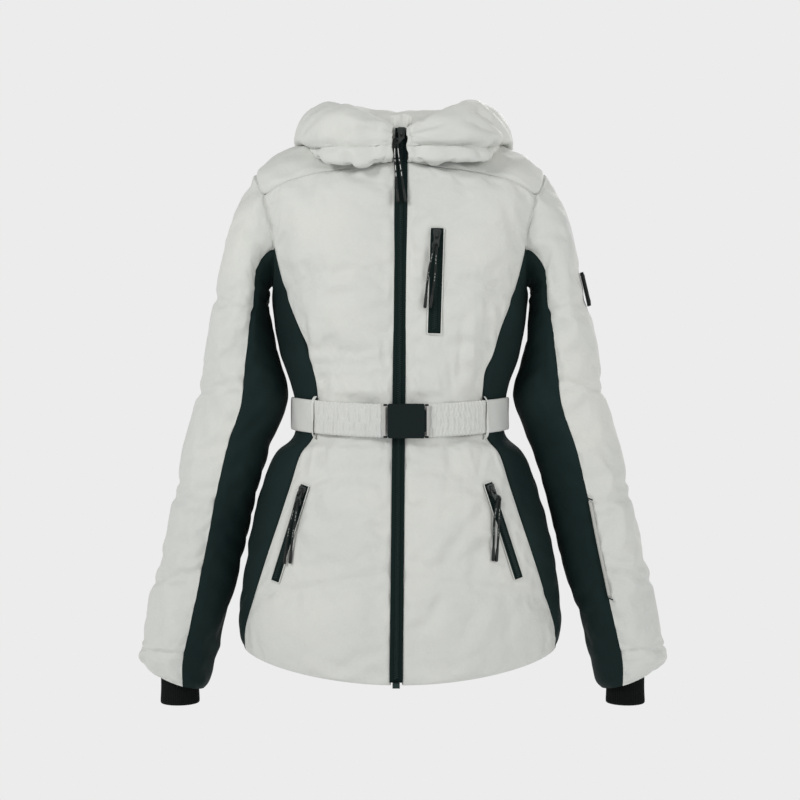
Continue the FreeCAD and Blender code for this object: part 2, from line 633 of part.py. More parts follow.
# ---- buckle -------------------------------------------------------------------------------
def buckle_bar(sign):
    """Square metal bar held off the plate's side by two arms."""
    edge = BUCKLE_X + sign * BUCKLE_W / 2
    far = edge + sign * BAR_REACH
    y = BUCKLE_FACE_Y + BUCKLE_T / 2
    z0, z1 = BUCKLE_Z - BUCKLE_H / 2 + 0.5, BUCKLE_Z + BUCKLE_H / 2 - 0.5
    a, b = sorted((far - sign * BAR_T, far))
    c, d = sorted((edge + sign * 0.3, far))
    bar = box(a, b, y - BAR_T / 2, y + BAR_T / 2, z0, z1)
    for low in (z0, z1 - BAR_T):
        bar = bar.fuse(box(c, d, y - BAR_T / 2, y + BAR_T / 2, low, low + BAR_T))
    return bar.removeSplitter().Solids[0]


def build_buckle():
    x0, x1 = BUCKLE_X - BUCKLE_W / 2, BUCKLE_X + BUCKLE_W / 2
    z0, z1 = BUCKLE_Z - BUCKLE_H / 2, BUCKLE_Z + BUCKLE_H / 2
    y0, y1 = BUCKLE_FACE_Y, BUCKLE_FACE_Y + BUCKLE_T
    plate = box(x0, x1, y0, y1, z0, z1)
    plate = plate.makeFillet(2.5, [e for e in plate.Edges if e.BoundBox.YLength > BUCKLE_T - 0.1])
    plate = plate.makeFillet(0.9, [e for e in plate.Edges if e.BoundBox.YLength < 0.01
                                   and e.BoundBox.Center.y < y0 + 0.1])
    middle = (y0 + y1) / 2
    tongue_x0 = x1 - TONGUE_W + 2
    play = POCKET_PLAY
    pocket = box(tongue_x0 - play, x1 + 1, middle - TONGUE_T / 2 - play, middle + TONGUE_T / 2 + play,
                 BUCKLE_Z - TONGUE_H / 2 - play, BUCKLE_Z + TONGUE_H / 2 + play)
    export("buckle_housing", plate.cut(pocket).Solids[0])
    export("buckle_bar_right", buckle_bar(-1))
    export("buckle_bar_left", buckle_bar(1))
    reach = x1 + BAR_REACH - BAR_T
    tongue = box(tongue_x0, reach, middle - TONGUE_T / 2, middle + TONGUE_T / 2,
                 BUCKLE_Z - TONGUE_H / 2, BUCKLE_Z + TONGUE_H / 2)
    tongue = tongue.makeFillet(3.0, [e for e in tongue.Edges if e.BoundBox.YLength > TONGUE_T - 0.1
                                     and e.BoundBox.Center.x < tongue_x0 + 0.1])
    window = box(tongue_x0 + 5, tongue_x0 + 11, middle - 2, middle + 2, BUCKLE_Z - 7, BUCKLE_Z + 7)
    export("buckle_tongue", tongue.cut(window).Solids[0])


# ---- neck loop and hood -------------------------------------------------------------------
def build_hang_loop():
    loop = prism([(30 * math.cos(math.radians(a)), -24 * math.sin(math.radians(a))) for a in range(0, 181, 12)],
                 0, 1.6)
    hole = prism([(25 * math.cos(math.radians(a)), -19 * math.sin(math.radians(a))) for a in range(0, 181, 12)],
                 -1, 3)
    loop = loop.cut(hole).Solids[0]
    loop.translate(V(0, 51.0, 4.0))
    export("hang_loop", loop)


def hood_wing(side):
    """One side of the folded hood: rises from the collar, rolls over and rests on the shoulder."""
    sign = mirrored(side)

    def surface(u, v):
        theta = HOOD_START_DEG + (HOOD_END_DEG - HOOD_START_DEG) * u
        inner_a, inner_z, crest_a, crest_z, outer_a, outer_z = (
            smooth(column(HOOD_RINGS, i), theta) for i in range(1, 7))
        if v < CREST_SHARE:
            turn = v / CREST_SHARE * math.pi / 2
            a = inner_a + (crest_a - inner_a) * (1 - math.cos(turn))
            z = inner_z + (crest_z - inner_z) * math.sin(turn)
        else:
            turn = (v - CREST_SHARE) / (1 - CREST_SHARE) * math.pi / 2
            a = crest_a + (outer_a - crest_a) * math.sin(turn)
            z = crest_z + (outer_z - crest_z) * (1 - math.cos(turn))
        front = front_depth(z) + 7.0 + (a - inner_a) * 0.12
        x, y = section(theta, a, front, a * 0.98, 2.0)
        return V(sign * x, y, z)

    return surface if sign > 0 else lambda u, v: surface(1 - u, v)


def hood_crown(inset):
    """Back of the hood, hanging down behind from the collar's seam."""
    def surface(u, v):
        spread = 1 - 2 * u
        y, z, half_width, set_back, droop = (smooth(column(CROWN, i), v) for i in range(1, 6))
        bow = spread * spread
        return V(spread * (half_width - inset), y - set_back * bow, z - droop * bow)
    return surface


def build_hood():
    behind = box(-300, 300, WING_CUT_Y, 400, -400, 300)
    for side in ("left", "right"):
        wing = thick_patch(hood_wing(side), 0, HOOD_T, 32, 16)
        export("hood_" + side + "_panel", wing.cut(behind).Solids[0])
    export("hood_crown_panel", thick_patch(hood_crown(0), -CROWN_T, 0, 20, 24))
    export("hood_lining", thick_patch(hood_crown(3), 0.6, 1.6, 20, 24))


# ---- sleeves ------------------------------------------------------------------------------
def sleeve(side):
    """Point of a sleeve's outer face at an angle from the outside and a share of its length."""
    sign = mirrored(side)
    spread = math.radians(LEFT_SLEEVE_SPREAD_DEG if side == "left" else 0)
    stations = [(i / (len(SLEEVE) - 1), *row) for i, row in enumerate(SLEEVE)]
    tables = [column(stations, i) for i in range(1, 6)]

    def point(phi, s):
        outer_x, outer_z, inner_x, inner_z, half_depth = (smooth(t, s) for t in tables)
        c, d = math.cos(math.radians(phi)), math.sin(math.radians(phi))
        x = (outer_x + inner_x) / 2 + (outer_x - inner_x) / 2 * c - SHOULDER_TIP[0]
        z = (outer_z + inner_z) / 2 + (outer_z - inner_z) / 2 * c - SHOULDER_TIP[1]
        turned_x = x * math.cos(spread) - z * math.sin(spread)
        turned_z = z * math.cos(spread) + x * math.sin(spread)
        return V(sign * (SHOULDER_TIP[0] + turned_x), half_depth * d, SHOULDER_TIP[1] + turned_z)

    return point


def sleeve_patch(side, low, high, start, end):
    """Part of the sleeve between two seam angles, given as functions of the share of its length."""
    point = sleeve(side)
    sign = mirrored(side)

    def surface(u, v):
        s = start + (end - start) * v
        along = u if sign > 0 else 1 - u
        return point(low(s) + (high(s) - low(s)) * along, s)

    return surface


def seam_angle(s):
    return math.degrees(math.acos(smooth(SLEEVE_SEAM, s)))


def gaiter(side):
    sign = mirrored(side)
    shift = LEFT_GAITER_SHIFT if side == "left" else 0.0

    def surface(u, v):
        x, z, half_w, half_d = (smooth(column(GAITER, i), v) for i in range(1, 5))
        angle = math.radians(181 + 358 * u)
        return V(sign * (x + shift) + sign * half_w * math.cos(angle), sign * half_d * math.sin(angle), z)

    return surface


def build_sleeves():
    for side in ("left", "right"):
        gap = 0.6
        white = sleeve_patch(side, lambda s: -seam_angle(s) + gap, lambda s: seam_angle(s) - gap, 0, 1)
        dark = sleeve_patch(side, lambda s: seam_angle(s) + gap, lambda s: 360 - seam_angle(s) - gap, 0, 1)
        front = sleeve_patch(side, lambda s: 180.5, lambda s: 359.5, 0.01, 0.97)
        back = sleeve_patch(side, lambda s: 0.5, lambda s: 179.5, 0.01, 0.97)
        export("sleeve_shell_" + side, thick_patch(white, 0, SHELL_T, 24, 40))
        export("sleeve_wadding_" + side, thick_patch(white, WADDING_IN, WADDING_OUT, 24, 40))
        export("sleeve_under_" + side, thick_patch(dark, 0, SIDE_T, 20, 40))
        export("sleeve_lining_" + side, thick_patch(front, LINING_IN, LINING_OUT, 20, 40),
               thick_patch(back, LINING_IN, LINING_OUT, 20, 40))
        export("wrist_gaiter_" + side, thick_patch(gaiter(side), 0, GAITER_T, 24, 8))
    point = sleeve("left")

    def badge(u, v):
        return point(-24 + 30 * u, BADGE_START + BADGE_LENGTH * v)

    export("sleeve_badge", thick_patch(badge, -0.9, -0.2, 6, 6))

    def pass_zip(u, v):
        s = PASS_ZIP_START + PASS_ZIP_LENGTH * v
        return point(360 - seam_angle(s) + 1 + 9 * (u - 0.5), s)

    export("pass_zip", thick_patch(pass_zip, -0.9, -0.2, 3, 12))


build_torso()
build_zips()
build_pockets()
build_belt()
build_buckle()
build_hang_loop()
build_hood()
build_sleeves()
for cord_name, strands in CORDS.items():
    pull_cords(cord_name, strands)
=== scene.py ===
import math
import bmesh
import bpy
import numpy as np
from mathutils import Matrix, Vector


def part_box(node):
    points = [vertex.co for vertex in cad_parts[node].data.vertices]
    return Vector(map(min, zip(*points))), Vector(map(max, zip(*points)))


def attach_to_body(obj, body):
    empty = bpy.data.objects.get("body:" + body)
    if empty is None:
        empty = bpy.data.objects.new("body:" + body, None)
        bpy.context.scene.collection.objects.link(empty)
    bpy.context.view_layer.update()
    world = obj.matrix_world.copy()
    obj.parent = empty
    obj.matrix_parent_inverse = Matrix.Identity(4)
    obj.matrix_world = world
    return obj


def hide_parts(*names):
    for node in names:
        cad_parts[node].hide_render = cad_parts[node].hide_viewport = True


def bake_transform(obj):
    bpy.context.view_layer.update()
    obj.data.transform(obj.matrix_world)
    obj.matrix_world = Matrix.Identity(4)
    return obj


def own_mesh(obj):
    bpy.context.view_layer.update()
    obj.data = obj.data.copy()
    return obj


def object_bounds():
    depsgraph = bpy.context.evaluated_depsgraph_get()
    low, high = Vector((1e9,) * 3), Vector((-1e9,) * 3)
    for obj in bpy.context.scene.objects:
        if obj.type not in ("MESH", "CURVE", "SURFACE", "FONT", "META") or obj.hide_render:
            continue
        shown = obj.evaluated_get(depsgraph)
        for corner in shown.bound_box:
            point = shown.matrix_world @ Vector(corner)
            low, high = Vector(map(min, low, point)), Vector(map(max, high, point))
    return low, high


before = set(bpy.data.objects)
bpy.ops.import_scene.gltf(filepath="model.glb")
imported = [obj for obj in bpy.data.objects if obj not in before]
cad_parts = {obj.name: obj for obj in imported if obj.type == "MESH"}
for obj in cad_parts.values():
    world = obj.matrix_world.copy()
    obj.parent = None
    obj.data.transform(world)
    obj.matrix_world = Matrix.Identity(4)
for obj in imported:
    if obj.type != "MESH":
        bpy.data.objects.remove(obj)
cad_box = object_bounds()

MM = 0.001
SIDES = {"left": 1, "right": -1}

# ---- shape of the jacket -------------------------------------------------------------------
# Millimetres and degrees, as the CAD model has them, but for the zip band and the sleeve's last two
# stations. Angles round the body are counted from the front.
HEM_Z = -670.0
HEM_DIP_FRONT, HEM_DIP_BACK = 30.0, 20.0
NECK_DIP_FRONT, NECK_RISE_BACK = 42.0, 5.0
BUST_X, BUST_Z, BUST_RISE = 85.0, -215.0, 11.0
BUST_SPREAD_X, BUST_SPREAD_Z = 45.0, 55.0
ZIP_TOP_Z, ZIP_BOTTOM_Z = -9.0, -696.0
ZIP_STRAIGHT_Y, ZIP_SLOPE = 91.0, 0.07
ZIP_LEAN, ZIP_TOP_X = 0.0098, 2.0
ZIP_HALF_BAND = 6.8       # the padded panels roll in over the edge of the tape
LINING_DEPTH = 9.4

# Height, half-width, depth of the back and the power of the outline seen from above.
TORSO = (
    (-670, 204, 150, 2.2), (-637, 208, 150, 2.2), (-598, 205, 148, 2.2), (-537, 196, 140, 2.2),
    (-475, 182, 128, 2.2), (-438, 170, 117, 2.2), (-415, 158, 108, 2.2), (-402, 143, 101, 2.2),
    (-390, 137, 97, 2.2), (-350, 136.5, 96, 2.2), (-330, 140, 97, 2.3), (-290, 154, 102, 2.3),
    (-258, 160, 107, 2.35), (-221, 164, 112, 2.4), (-190, 168, 115, 2.6), (-150, 172, 117, 2.9),
    (-110, 182, 113, 2.8), (-85, 189, 106, 2.5), (-65, 190, 99, 2.2), (-40, 170, 88, 1.8),
    (-21, 136, 76, 1.6), (-10, 108, 70, 1.7), (0, 78, 66, 2.0),
)
FRONT_LOW = (
    (-720, 150), (-637, 149), (-598, 145), (-537, 137), (-475, 127), (-437, 119),
    (-415, 114), (-402, 110.6), (-352, 110.6), (-338, 111.7),
)
# Height and angle of the seam between the white and the dark panels.
SIDE_SEAM = (
    (-670, 77.3), (-660, 75.2), (-604, 64.4), (-552, 57.8), (-483, 51.4), (-445, 49.6),
    (-400, 50.5), (-350, 48.5), (-316, 46), (-263, 50), (-216, 57.7), (-190, 59.5),
    (-155, 61.5), (-130, 59.5), (-88, 61.5),
)
# Angle and height of the yoke's lower edge, then of the side panel's upper edge.
YOKE_EDGE = (
    (0, -10), (30, -32), (50, -66), (61, -86), (66, -84), (75, -68), (90, -58),
    (105, -68), (114, -84), (119, -89), (140, -80), (180, -72),
)
ARMHOLE_FLOOR = ((61, -157), (68, -180), (78, -198), (90, -204))
# Edge of the torso round the armhole: angle round the sleeve, angle from the side, height.
ARMHOLE = (
    (0, 0, -58), (30, 15, -68), (50, 24, -84), (62, 29, -89), (90, 30.5, -130), (112, 28.5, -156),
    (138, 22, -180), (160, 12, -198), (180, 0, -204),
)
# Even stations down a sleeve: outside x and z, inside x and z, half-depth.
SLEEVE = (
    (193, -62, 169, -198, 58), (211, -105, 170, -207, 62), (226, -165, 170, -217, 66),
    (241, -230, 168, -240, 68), (253, -300, 160, -292, 66), (262, -354, 147, -345, 64),
    (281, -421, 170, -412, 60), (295, -488, 189, -478, 58), (307, -540, 200, -528, 56),
    (321, -597, 213, -583, 54), (331, -652, 229, -638, 52), (340, -684, 240, -686, 48),
    (322, -706, 252, -726, 42),
)
# Share of the sleeve's length, and cosine of the angle from the outside at which white meets dark.
SLEEVE_SEAM = (
    (0.0, -0.45), (0.22, -0.58), (0.30, -0.36), (0.43, -0.07), (0.64, -0.15), (1.0, -0.28),
)
SHOULDER_TIP = (193.0, -62.0)
LEFT_SLEEVE_SPREAD_DEG = 0.6
# Share of the gaiter's length, x, z, half-width, half-depth.
GAITER = (
    (0, 284, -688, 25, 34), (0.35, 285, -706, 25, 32), (0.6, 286, -722, 24, 30), (1, 286, -744, 25, 30),
)
LEFT_GAITER_SHIFT = 7.0


def smooth(table, x, column=1):
    """Monotone cubic through one column of a table, against its first column."""
    rows = np.array(table, float)
    xs, ys = rows[:, 0], rows[:, column]
    h = np.diff(xs)
    slope = np.diff(ys) / h
    same = slope[:-1] * slope[1:] > 0
    total = np.where(same, slope[:-1] + slope[1:], 1.0)
    tangent = np.zeros(len(xs))
    tangent[1:-1] = np.where(same, 2 * slope[:-1] * slope[1:] / total, 0.0)
    x = np.clip(x, xs[0], xs[-1])
    k = np.clip(np.searchsorted(xs, x, side="right") - 1, 0, len(xs) - 2)
    t = (x - xs[k]) / h[k]
    a, b, rise = tangent[k] * h[k], tangent[k + 1] * h[k], ys[k + 1] - ys[k]
    return ys[k] + a * t + (3 * rise - 2 * a - b) * t ** 2 + (a + b - 2 * rise) * t ** 3


def ease(t):
    t = np.clip(t, 0.0, 1.0)
    return t * t * (3 - 2 * t)


def section(theta, a, front, back, n):
    s, c = np.sin(np.radians(theta)), np.cos(np.radians(theta))
    r = (np.abs(s) ** n + np.abs(c) ** n) ** (-1.0 / n)
    return a * s * r, np.where(c > 0, -front, -back) * c * r


def front_depth(z):
    straight = ZIP_STRAIGHT_Y - ZIP_SLOPE * (z + NECK_DIP_FRONT)
    return np.where(z > FRONT_LOW[-1][0], straight, smooth(FRONT_LOW, z))


def zip_x(z):
    return ZIP_TOP_X + ZIP_LEAN * (z - ZIP_TOP_Z)


def dips(theta, z):
    c = np.cos(np.radians(theta))
    neck = np.where(c > 0, -NECK_DIP_FRONT, NECK_RISE_BACK)
    hem = np.where(c > 0, -HEM_DIP_FRONT, -HEM_DIP_BACK)
    return c * c * (neck * ease((z + 130.0) / 130.0) + hem * ease((-420.0 - z) / 250.0))


def torso(theta, z):
    """Outer face of the jacket's body at an angle from the front and a height; last axis is x, y, z."""
    theta, z = np.broadcast_arrays(np.asarray(theta, float), np.asarray(z, float))
    level = z + dips(theta, z)
    x, y = section(theta, smooth(TORSO, z, 1), front_depth(level), smooth(TORSO, z, 2), smooth(TORSO, z, 3))
    across = (np.abs(x) - BUST_X) / BUST_SPREAD_X
    along = (level - BUST_Z) / BUST_SPREAD_Z
    bust = BUST_RISE * np.exp(-0.5 * (across ** 2 + along ** 2))
    return np.stack([x, y - np.where(y < 0, bust, 0.0), level], -1)


def zip_edge_angle(sign, z):
    reach = ZIP_HALF_BAND + sign * zip_x(z)
    return np.degrees(np.arctan(reach / smooth(TORSO, z, 1)))


def front_panel(sign):
    def surface(u, v):
        start = zip_edge_angle(sign, -10)
        top = smooth(YOKE_EDGE, start + (61 - start) * u)
        z = top + (HEM_Z - top) * v
        inner = zip_edge_angle(sign, z)
        return torso(sign * (inner + (smooth(SIDE_SEAM, z) - inner) * u), z)
    return surface


def back_panel(u, v):
    spread = 1 - 2 * u
    top = smooth(YOKE_EDGE, 180 - 61 * np.abs(spread))
    z = top + (HEM_Z - top) * v
    return torso(180 - spread * smooth(SIDE_SEAM, z), z)


def side_panel(sign):
    def surface(u, v):
        spread = 2 * u - 1
        top = smooth(ARMHOLE_FLOOR, 90 - 29 * np.abs(spread))
        z = top + (HEM_Z - top) * v
        return torso(sign * (90 + spread * (90 - smooth(SIDE_SEAM, z))), z)
    return surface


def yoke(sign):
    def surface(u, v):
        start = zip_edge_angle(sign, -5)
        theta = start + (180 - start) * u
        return torso(sign * theta, smooth(YOKE_EDGE, theta) * v)
    return surface


SLEEVE_HEAD = 0.11        # share of the sleeve's length over which it leaves the armhole's seam


def sleeve(side):
    """Point of a sleeve's outer face at an angle from the outside and a share of its length."""
    sign = SIDES[side]
    spread = math.radians(LEFT_SLEEVE_SPREAD_DEG if side == "left" else 0)
    stations = [(i / (len(SLEEVE) - 1), *row) for i, row in enumerate(SLEEVE)]

    def point(phi, s):
        outer_x, outer_z, inner_x, inner_z, half_depth = (smooth(stations, s, i) for i in range(1, 6))
        c, d = np.cos(np.radians(phi)), np.sin(np.radians(phi))
        x = (outer_x + inner_x) / 2 + (outer_x - inner_x) / 2 * c - SHOULDER_TIP[0]
        z = (outer_z + inner_z) / 2 + (outer_z - inner_z) / 2 * c - SHOULDER_TIP[1]
        turned_x = x * math.cos(spread) - z * math.sin(spread)
        turned_z = z * math.cos(spread) + x * math.sin(spread)
        free = np.stack([sign * (SHOULDER_TIP[0] + turned_x), half_depth * d,
                         SHOULDER_TIP[1] + turned_z], -1)
        turn = np.mod(phi, 360.0)
        fold = np.minimum(turn, 360 - turn)
        offset = smooth(ARMHOLE, fold, 1) * np.where(turn > 180, -1, 1)
        sewn = torso(sign * (90 + offset), smooth(ARMHOLE, fold, 2))
        share = ease(s / SLEEVE_HEAD)[..., None]
        return sewn * (1 - share) + free * share

    return point


def seam_angle(s):
    return np.degrees(np.arccos(smooth(SLEEVE_SEAM, s)))


# ---- materials ------------------------------------------------------------------------------
def plain_material(name, color, roughness, metallic=0.0, sheen=0.0, coat=0.0, specular=0.5):
    material = bpy.data.materials.new(name)
    material.use_nodes = True
    shader = material.node_tree.nodes["Principled BSDF"]
    shader.inputs["Base Color"].default_value = (*color, 1)
    shader.inputs["Roughness"].default_value = roughness
    shader.inputs["Metallic"].default_value = metallic
    shader.inputs["Sheen Weight"].default_value = sheen
    shader.inputs["Sheen Roughness"].default_value = 0.5
    shader.inputs["Coat Weight"].default_value = coat
    shader.inputs["Specular IOR Level"].default_value = specular
    return material


def node(material, kind, links=(), **values):
    """Adds a node; links are (input name, socket) pairs and values are input defaults or attributes."""
    made = material.node_tree.nodes.new(kind)
    for name, value in values.items():
        label = name.replace("_", " ")
        if label in made.inputs:
            made.inputs[label].default_value = value
        else:
            setattr(made, name, value)
    for name, socket in links:
        material.node_tree.links.new(socket, made.inputs[name])
    return made


def object_place(material):
    return node(material, "ShaderNodeTexCoord").outputs["Object"]


def noise(material, place, scale, detail=3.0):
    made = node(material, "ShaderNodeTexNoise", [("Vector", place)])
    made.inputs["Scale"].default_value = scale
    made.inputs["Detail"].default_value = detail
    return made.outputs["Fac"]


def ribs(material, place, axis, period_mm):
    """Fine parallel ribs across one axis of the jacket's frame."""
    made = node(material, "ShaderNodeTexWave", [("Vector", place)], bands_direction=axis)
    made.inputs["Scale"].default_value = 2 * math.pi / (20 * period_mm * MM)
    return made.outputs["Fac"]


def sum_of(material, terms):
    """Weighted sum of sockets."""
    total = None
    for socket, weight in terms:
        part = node(material, "ShaderNodeMath", operation="MULTIPLY")
        material.node_tree.links.new(socket, part.inputs[0])
        part.inputs[1].default_value = weight
        if total is not None:
            joined = node(material, "ShaderNodeMath", operation="ADD")
            material.node_tree.links.new(total.outputs[0], joined.inputs[0])
            material.node_tree.links.new(part.outputs[0], joined.inputs[1])
            part = joined
        total = part
    return total.outputs[0]


def add_bump(material, height, distance_mm, strength=1.0):
    bump = node(material, "ShaderNodeBump", [("Height", height)])
    bump.inputs["Strength"].default_value = strength
    bump.inputs["Distance"].default_value = distance_mm * MM
    shader = material.node_tree.nodes["Principled BSDF"]
    material.node_tree.links.new(bump.outputs["Normal"], shader.inputs["Normal"])


MOTTLE_SCALE = 9.0
MOTTLE_FROM, MOTTLE_TO = 0.35, 0.65      # noise values at which the dark and the light colour are full


def mixed_color(material, factor, first, second):
    """Base colour that goes from the first colour to the second as the factor rises."""
    mix = node(material, "ShaderNodeMix", data_type="RGBA")
    material.node_tree.links.new(factor, mix.inputs["Factor"])
    for socket in mix.inputs:
        if socket.type == "RGBA" and socket.name in "AB":
            socket.default_value = (*(first if socket.name == "A" else second), 1)
    color = [socket for socket in mix.outputs if socket.type == "RGBA"][0]
    shader = material.node_tree.nodes["Principled BSDF"]
    material.node_tree.links.new(color, shader.inputs["Base Color"])


def mottle(material, place, light, dark, scale):
    """Slow colour variation between two colours."""
    ramp = node(material, "ShaderNodeMapRange", [("Value", noise(material, place, scale, 4.0))])
    ramp.inputs["From Min"].default_value = MOTTLE_FROM
    ramp.inputs["From Max"].default_value = MOTTLE_TO
    mixed_color(material, ramp.outputs["Result"], dark, light)


def woven(name, light, dark, roughness, sheen, weave_mm, weave_depth, crumple_mm, specular=0.3):
    """Woven cloth: fine weave, soft crumple and slow colour variation."""
    material = plain_material(name, light, roughness, sheen=sheen, specular=specular)
    place = object_place(material)
    mottle(material, place, light, dark, MOTTLE_SCALE)
    height = sum_of(material, [
        (ribs(material, place, "X", weave_mm), weave_depth),
        (ribs(material, place, "Z", weave_mm), weave_depth),
        (noise(material, place, 45.0, 4.0), crumple_mm),
        (noise(material, place, 160.0, 3.0), crumple_mm * 0.3),
    ])
    add_bump(material, height, 1.0)
    return material


# Name, light and dark colour, roughness, sheen, weave's period and depth, crumple's depth, specular level.
WHITE = woven("shell_white_cloth", (0.590, 0.596, 0.560), (0.548, 0.562, 0.536),
              0.60, 0.12, 0.7, 0.03, 1.6, 0.4)
DARK = woven("shell_dark_cloth", (0.0078, 0.0190, 0.0180), (0.0050, 0.0135, 0.0130),
             0.72, 0.02, 0.9, 0.06, 0.7, 0.10)
CREAM = woven("lining_cloth", (0.60, 0.585, 0.51), (0.54, 0.52, 0.45), 0.45, 0.1, 0.5, 0.02, 1.2)
ELASTIC = woven("belt_elastic_cloth", (0.590, 0.600, 0.570), (0.550, 0.562, 0.540),
                0.66, 0.12, 0.9, 0.09, 0.4)
TAPE = woven("zip_tape_cloth", (0.0060, 0.0150, 0.0135), (0.0060, 0.0130, 0.0125),
             0.75, 0.0, 1.1, 0.10, 0.1, 0.06)
KNIT = woven("knit_cloth", (0.0040, 0.0065, 0.0055), (0.0025, 0.0040, 0.0035),
             0.85, 0.05, 1.3, 0.15, 0.4, 0.10)
CORD = woven("cord_braid", (0.0090, 0.0140, 0.0120), (0.0050, 0.0085, 0.0075),
             0.55, 0.05, 1.2, 0.25, 0.0, 0.25)
THREAD = woven("sewing_thread", (0.480, 0.480, 0.450), (0.440, 0.440, 0.415), 0.6, 0.1, 0.6, 0.1, 0.0)


def moulded(name, color, roughness, coat=0.0, metallic=0.0, grain_mm=0.02, grain_scale=900.0, specular=0.3):
    """Moulded or enamelled part: fine grain, and roughness that varies a little."""
    material = plain_material(name, color, roughness, metallic=metallic, coat=coat, specular=specular)
    place = object_place(material)
    grain = noise(material, place, grain_scale, 4.0)
    add_bump(material, grain, grain_mm)
    ramp = node(material, "ShaderNodeMapRange", [("Value", noise(material, place, 70.0, 3.0))])
    ramp.inputs["To Min"].default_value = roughness - 0.07
    ramp.inputs["To Max"].default_value = roughness + 0.07
    shader = material.node_tree.nodes["Principled BSDF"]
    material.node_tree.links.new(ramp.outputs["Result"], shader.inputs["Roughness"])
    return material


TEETH = moulded("zip_teeth", (0.012, 0.026, 0.024), 0.42, specular=0.2)
ENAMEL = moulded("slider_enamel", (0.030, 0.036, 0.034), 0.34, coat=0.1, metallic=0.4)
BUCKLE = moulded("buckle_moulding", (0.0050, 0.0100, 0.0100), 0.46, specular=0.12)
RUBBER = moulded("badge_rubber", (0.0060, 0.0085, 0.0085), 0.55, specular=0.2)
TIP = moulded("cord_tip_moulding", (0.0070, 0.0100, 0.0090), 0.42, specular=0.25)
TRACER = moulded("cord_tracer", (0.26, 0.28, 0.26), 0.6)
TRACER_WHITE = moulded("cord_tracer_white", (0.60, 0.61, 0.59), 0.5)


BAR_STEEL, BAR_BLACK = (0.52, 0.51, 0.49), (0.010, 0.014, 0.014)
ARM_BLACK_FROM, ARM_BLACK_FULL = 0.0028, 0.0022     # metres in from the ends of the bar


def bar_material():
    """Bright metal bar whose two arms, above and below, are black like the buckle."""
    material = moulded("bar_steel", BAR_STEEL, 0.30, metallic=1.0, grain_mm=0.03, grain_scale=600.0)
    height = node(material, "ShaderNodeSeparateXYZ", [("Vector", object_place(material))]).outputs["Z"]
    low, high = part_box("buckle_bar_left")
    off = node(material, "ShaderNodeMath", [(0, height)], operation="SUBTRACT")
    off.inputs[1].default_value = (low.z + high.z) / 2
    away = node(material, "ShaderNodeMath", [(0, off.outputs[0])], operation="ABSOLUTE")
    arms = node(material, "ShaderNodeMapRange", [("Value", away.outputs[0])])
    half = (high.z - low.z) / 2
    arms.inputs["From Min"].default_value = half - ARM_BLACK_FROM
    arms.inputs["From Max"].default_value = half - ARM_BLACK_FULL
    mixed_color(material, arms.outputs["Result"], BAR_STEEL, BAR_BLACK)
    return material


STEEL = bar_material()


# ---- mesh helpers ---------------------------------------------------------------------------
FIRST_STEP, SECOND_STEP = 1.6, 4.2


def knots(length, step):
    """Shares of a length: fine steps next to both ends and even steps between them."""
    count = max(int(round((length - 2 * SECOND_STEP) / step)), 2)
    middle = np.linspace(SECOND_STEP / length, 1 - SECOND_STEP / length, count + 1)
    ends = np.array([0.0, FIRST_STEP / length])
    return np.concatenate([ends, middle, 1 - ends[::-1]])


def grid(surface, across, down):
    v, u = np.meshgrid(down, across, indexing="ij")
    return surface(u, v)


def outward(points, turned):
    du, dv = np.gradient(points, axis=1), np.gradient(points, axis=0)
    n = np.cross(dv, du)
    n /= np.linalg.norm(n, axis=-1, keepdims=True) + 1e-9
    return -n if turned else n


def edge_distance(points, sides=(1, 1, 1, 1)):
    """Distance of each grid point to the nearest of the wanted edges: left, right, top, bottom."""
    along = np.linalg.norm(np.diff(points, axis=1), axis=-1)
    down = np.linalg.norm(np.diff(points, axis=0), axis=-1)
    left = np.concatenate([np.zeros((len(points), 1)), np.cumsum(along, 1)], 1)
    top = np.concatenate([np.zeros((1, points.shape[1])), np.cumsum(down, 0)], 0)
    reach = [left, left[:, -1:] - left, top, top[-1:] - top]
    return np.min([r + (0 if wanted else 1e3) for r, wanted in zip(reach, sides)], axis=0)


def quads(index):
    a, b, c, d = index[:-1, :-1], index[1:, :-1], index[1:, 1:], index[:-1, 1:]
    return np.stack([a, b, c, d], -1).reshape(-1, 4).tolist()


def wrapped(index):
    """Index grid whose last column meets its first again."""
    return np.concatenate([index, index[:, :1]], 1)


def outline(index):
    """The grid's edge, once round, back to its first point."""
    return list(index[0]) + list(index[1:, -1]) + list(index[-1, -2::-1]) + list(index[-2::-1, 0])


def rim_quads(rim, count):
    return [(a, b, b + count, a + count) for a, b in zip(rim, rim[1:])]


def make_object(name, points, faces, materials, turned=False):
    mesh = bpy.data.meshes.new(name)
    faces = [tuple(face)[::-1] for face in faces] if turned else [tuple(face) for face in faces]
    mesh.from_pydata((np.asarray(points, float).reshape(-1, 3) * MM).tolist(), [], faces)
    for polygon in mesh.polygons:
        polygon.use_smooth = True
    for material in materials:
        mesh.materials.append(material)
    made = bpy.data.objects.new(name, mesh)
    bpy.context.collection.objects.link(made)
    return made


def closed(name, outer, inner, turned, materials, wrap=False, lining_rows=0):
    """Closed solid between two grids of points; its first rows may take the second material."""
    rows, columns = outer.shape[:2]
    count = rows * columns
    index = np.arange(count).reshape(rows, columns)
    if wrap:
        index = wrapped(index)
    front = quads(index)
    faces = front + [face[::-1] for face in quads(index + count)]
    rims = [list(index[0]), list(index[-1][::-1])] if wrap else [outline(index)]
    for rim in rims:
        faces += rim_quads(rim, count)
    made = make_object(name, np.concatenate([outer.reshape(-1, 3), inner.reshape(-1, 3)]), faces,
                       materials, turned)
    for k in range(lining_rows * (index.shape[1] - 1)):
        made.data.polygons[k].material_index = 1
    return made


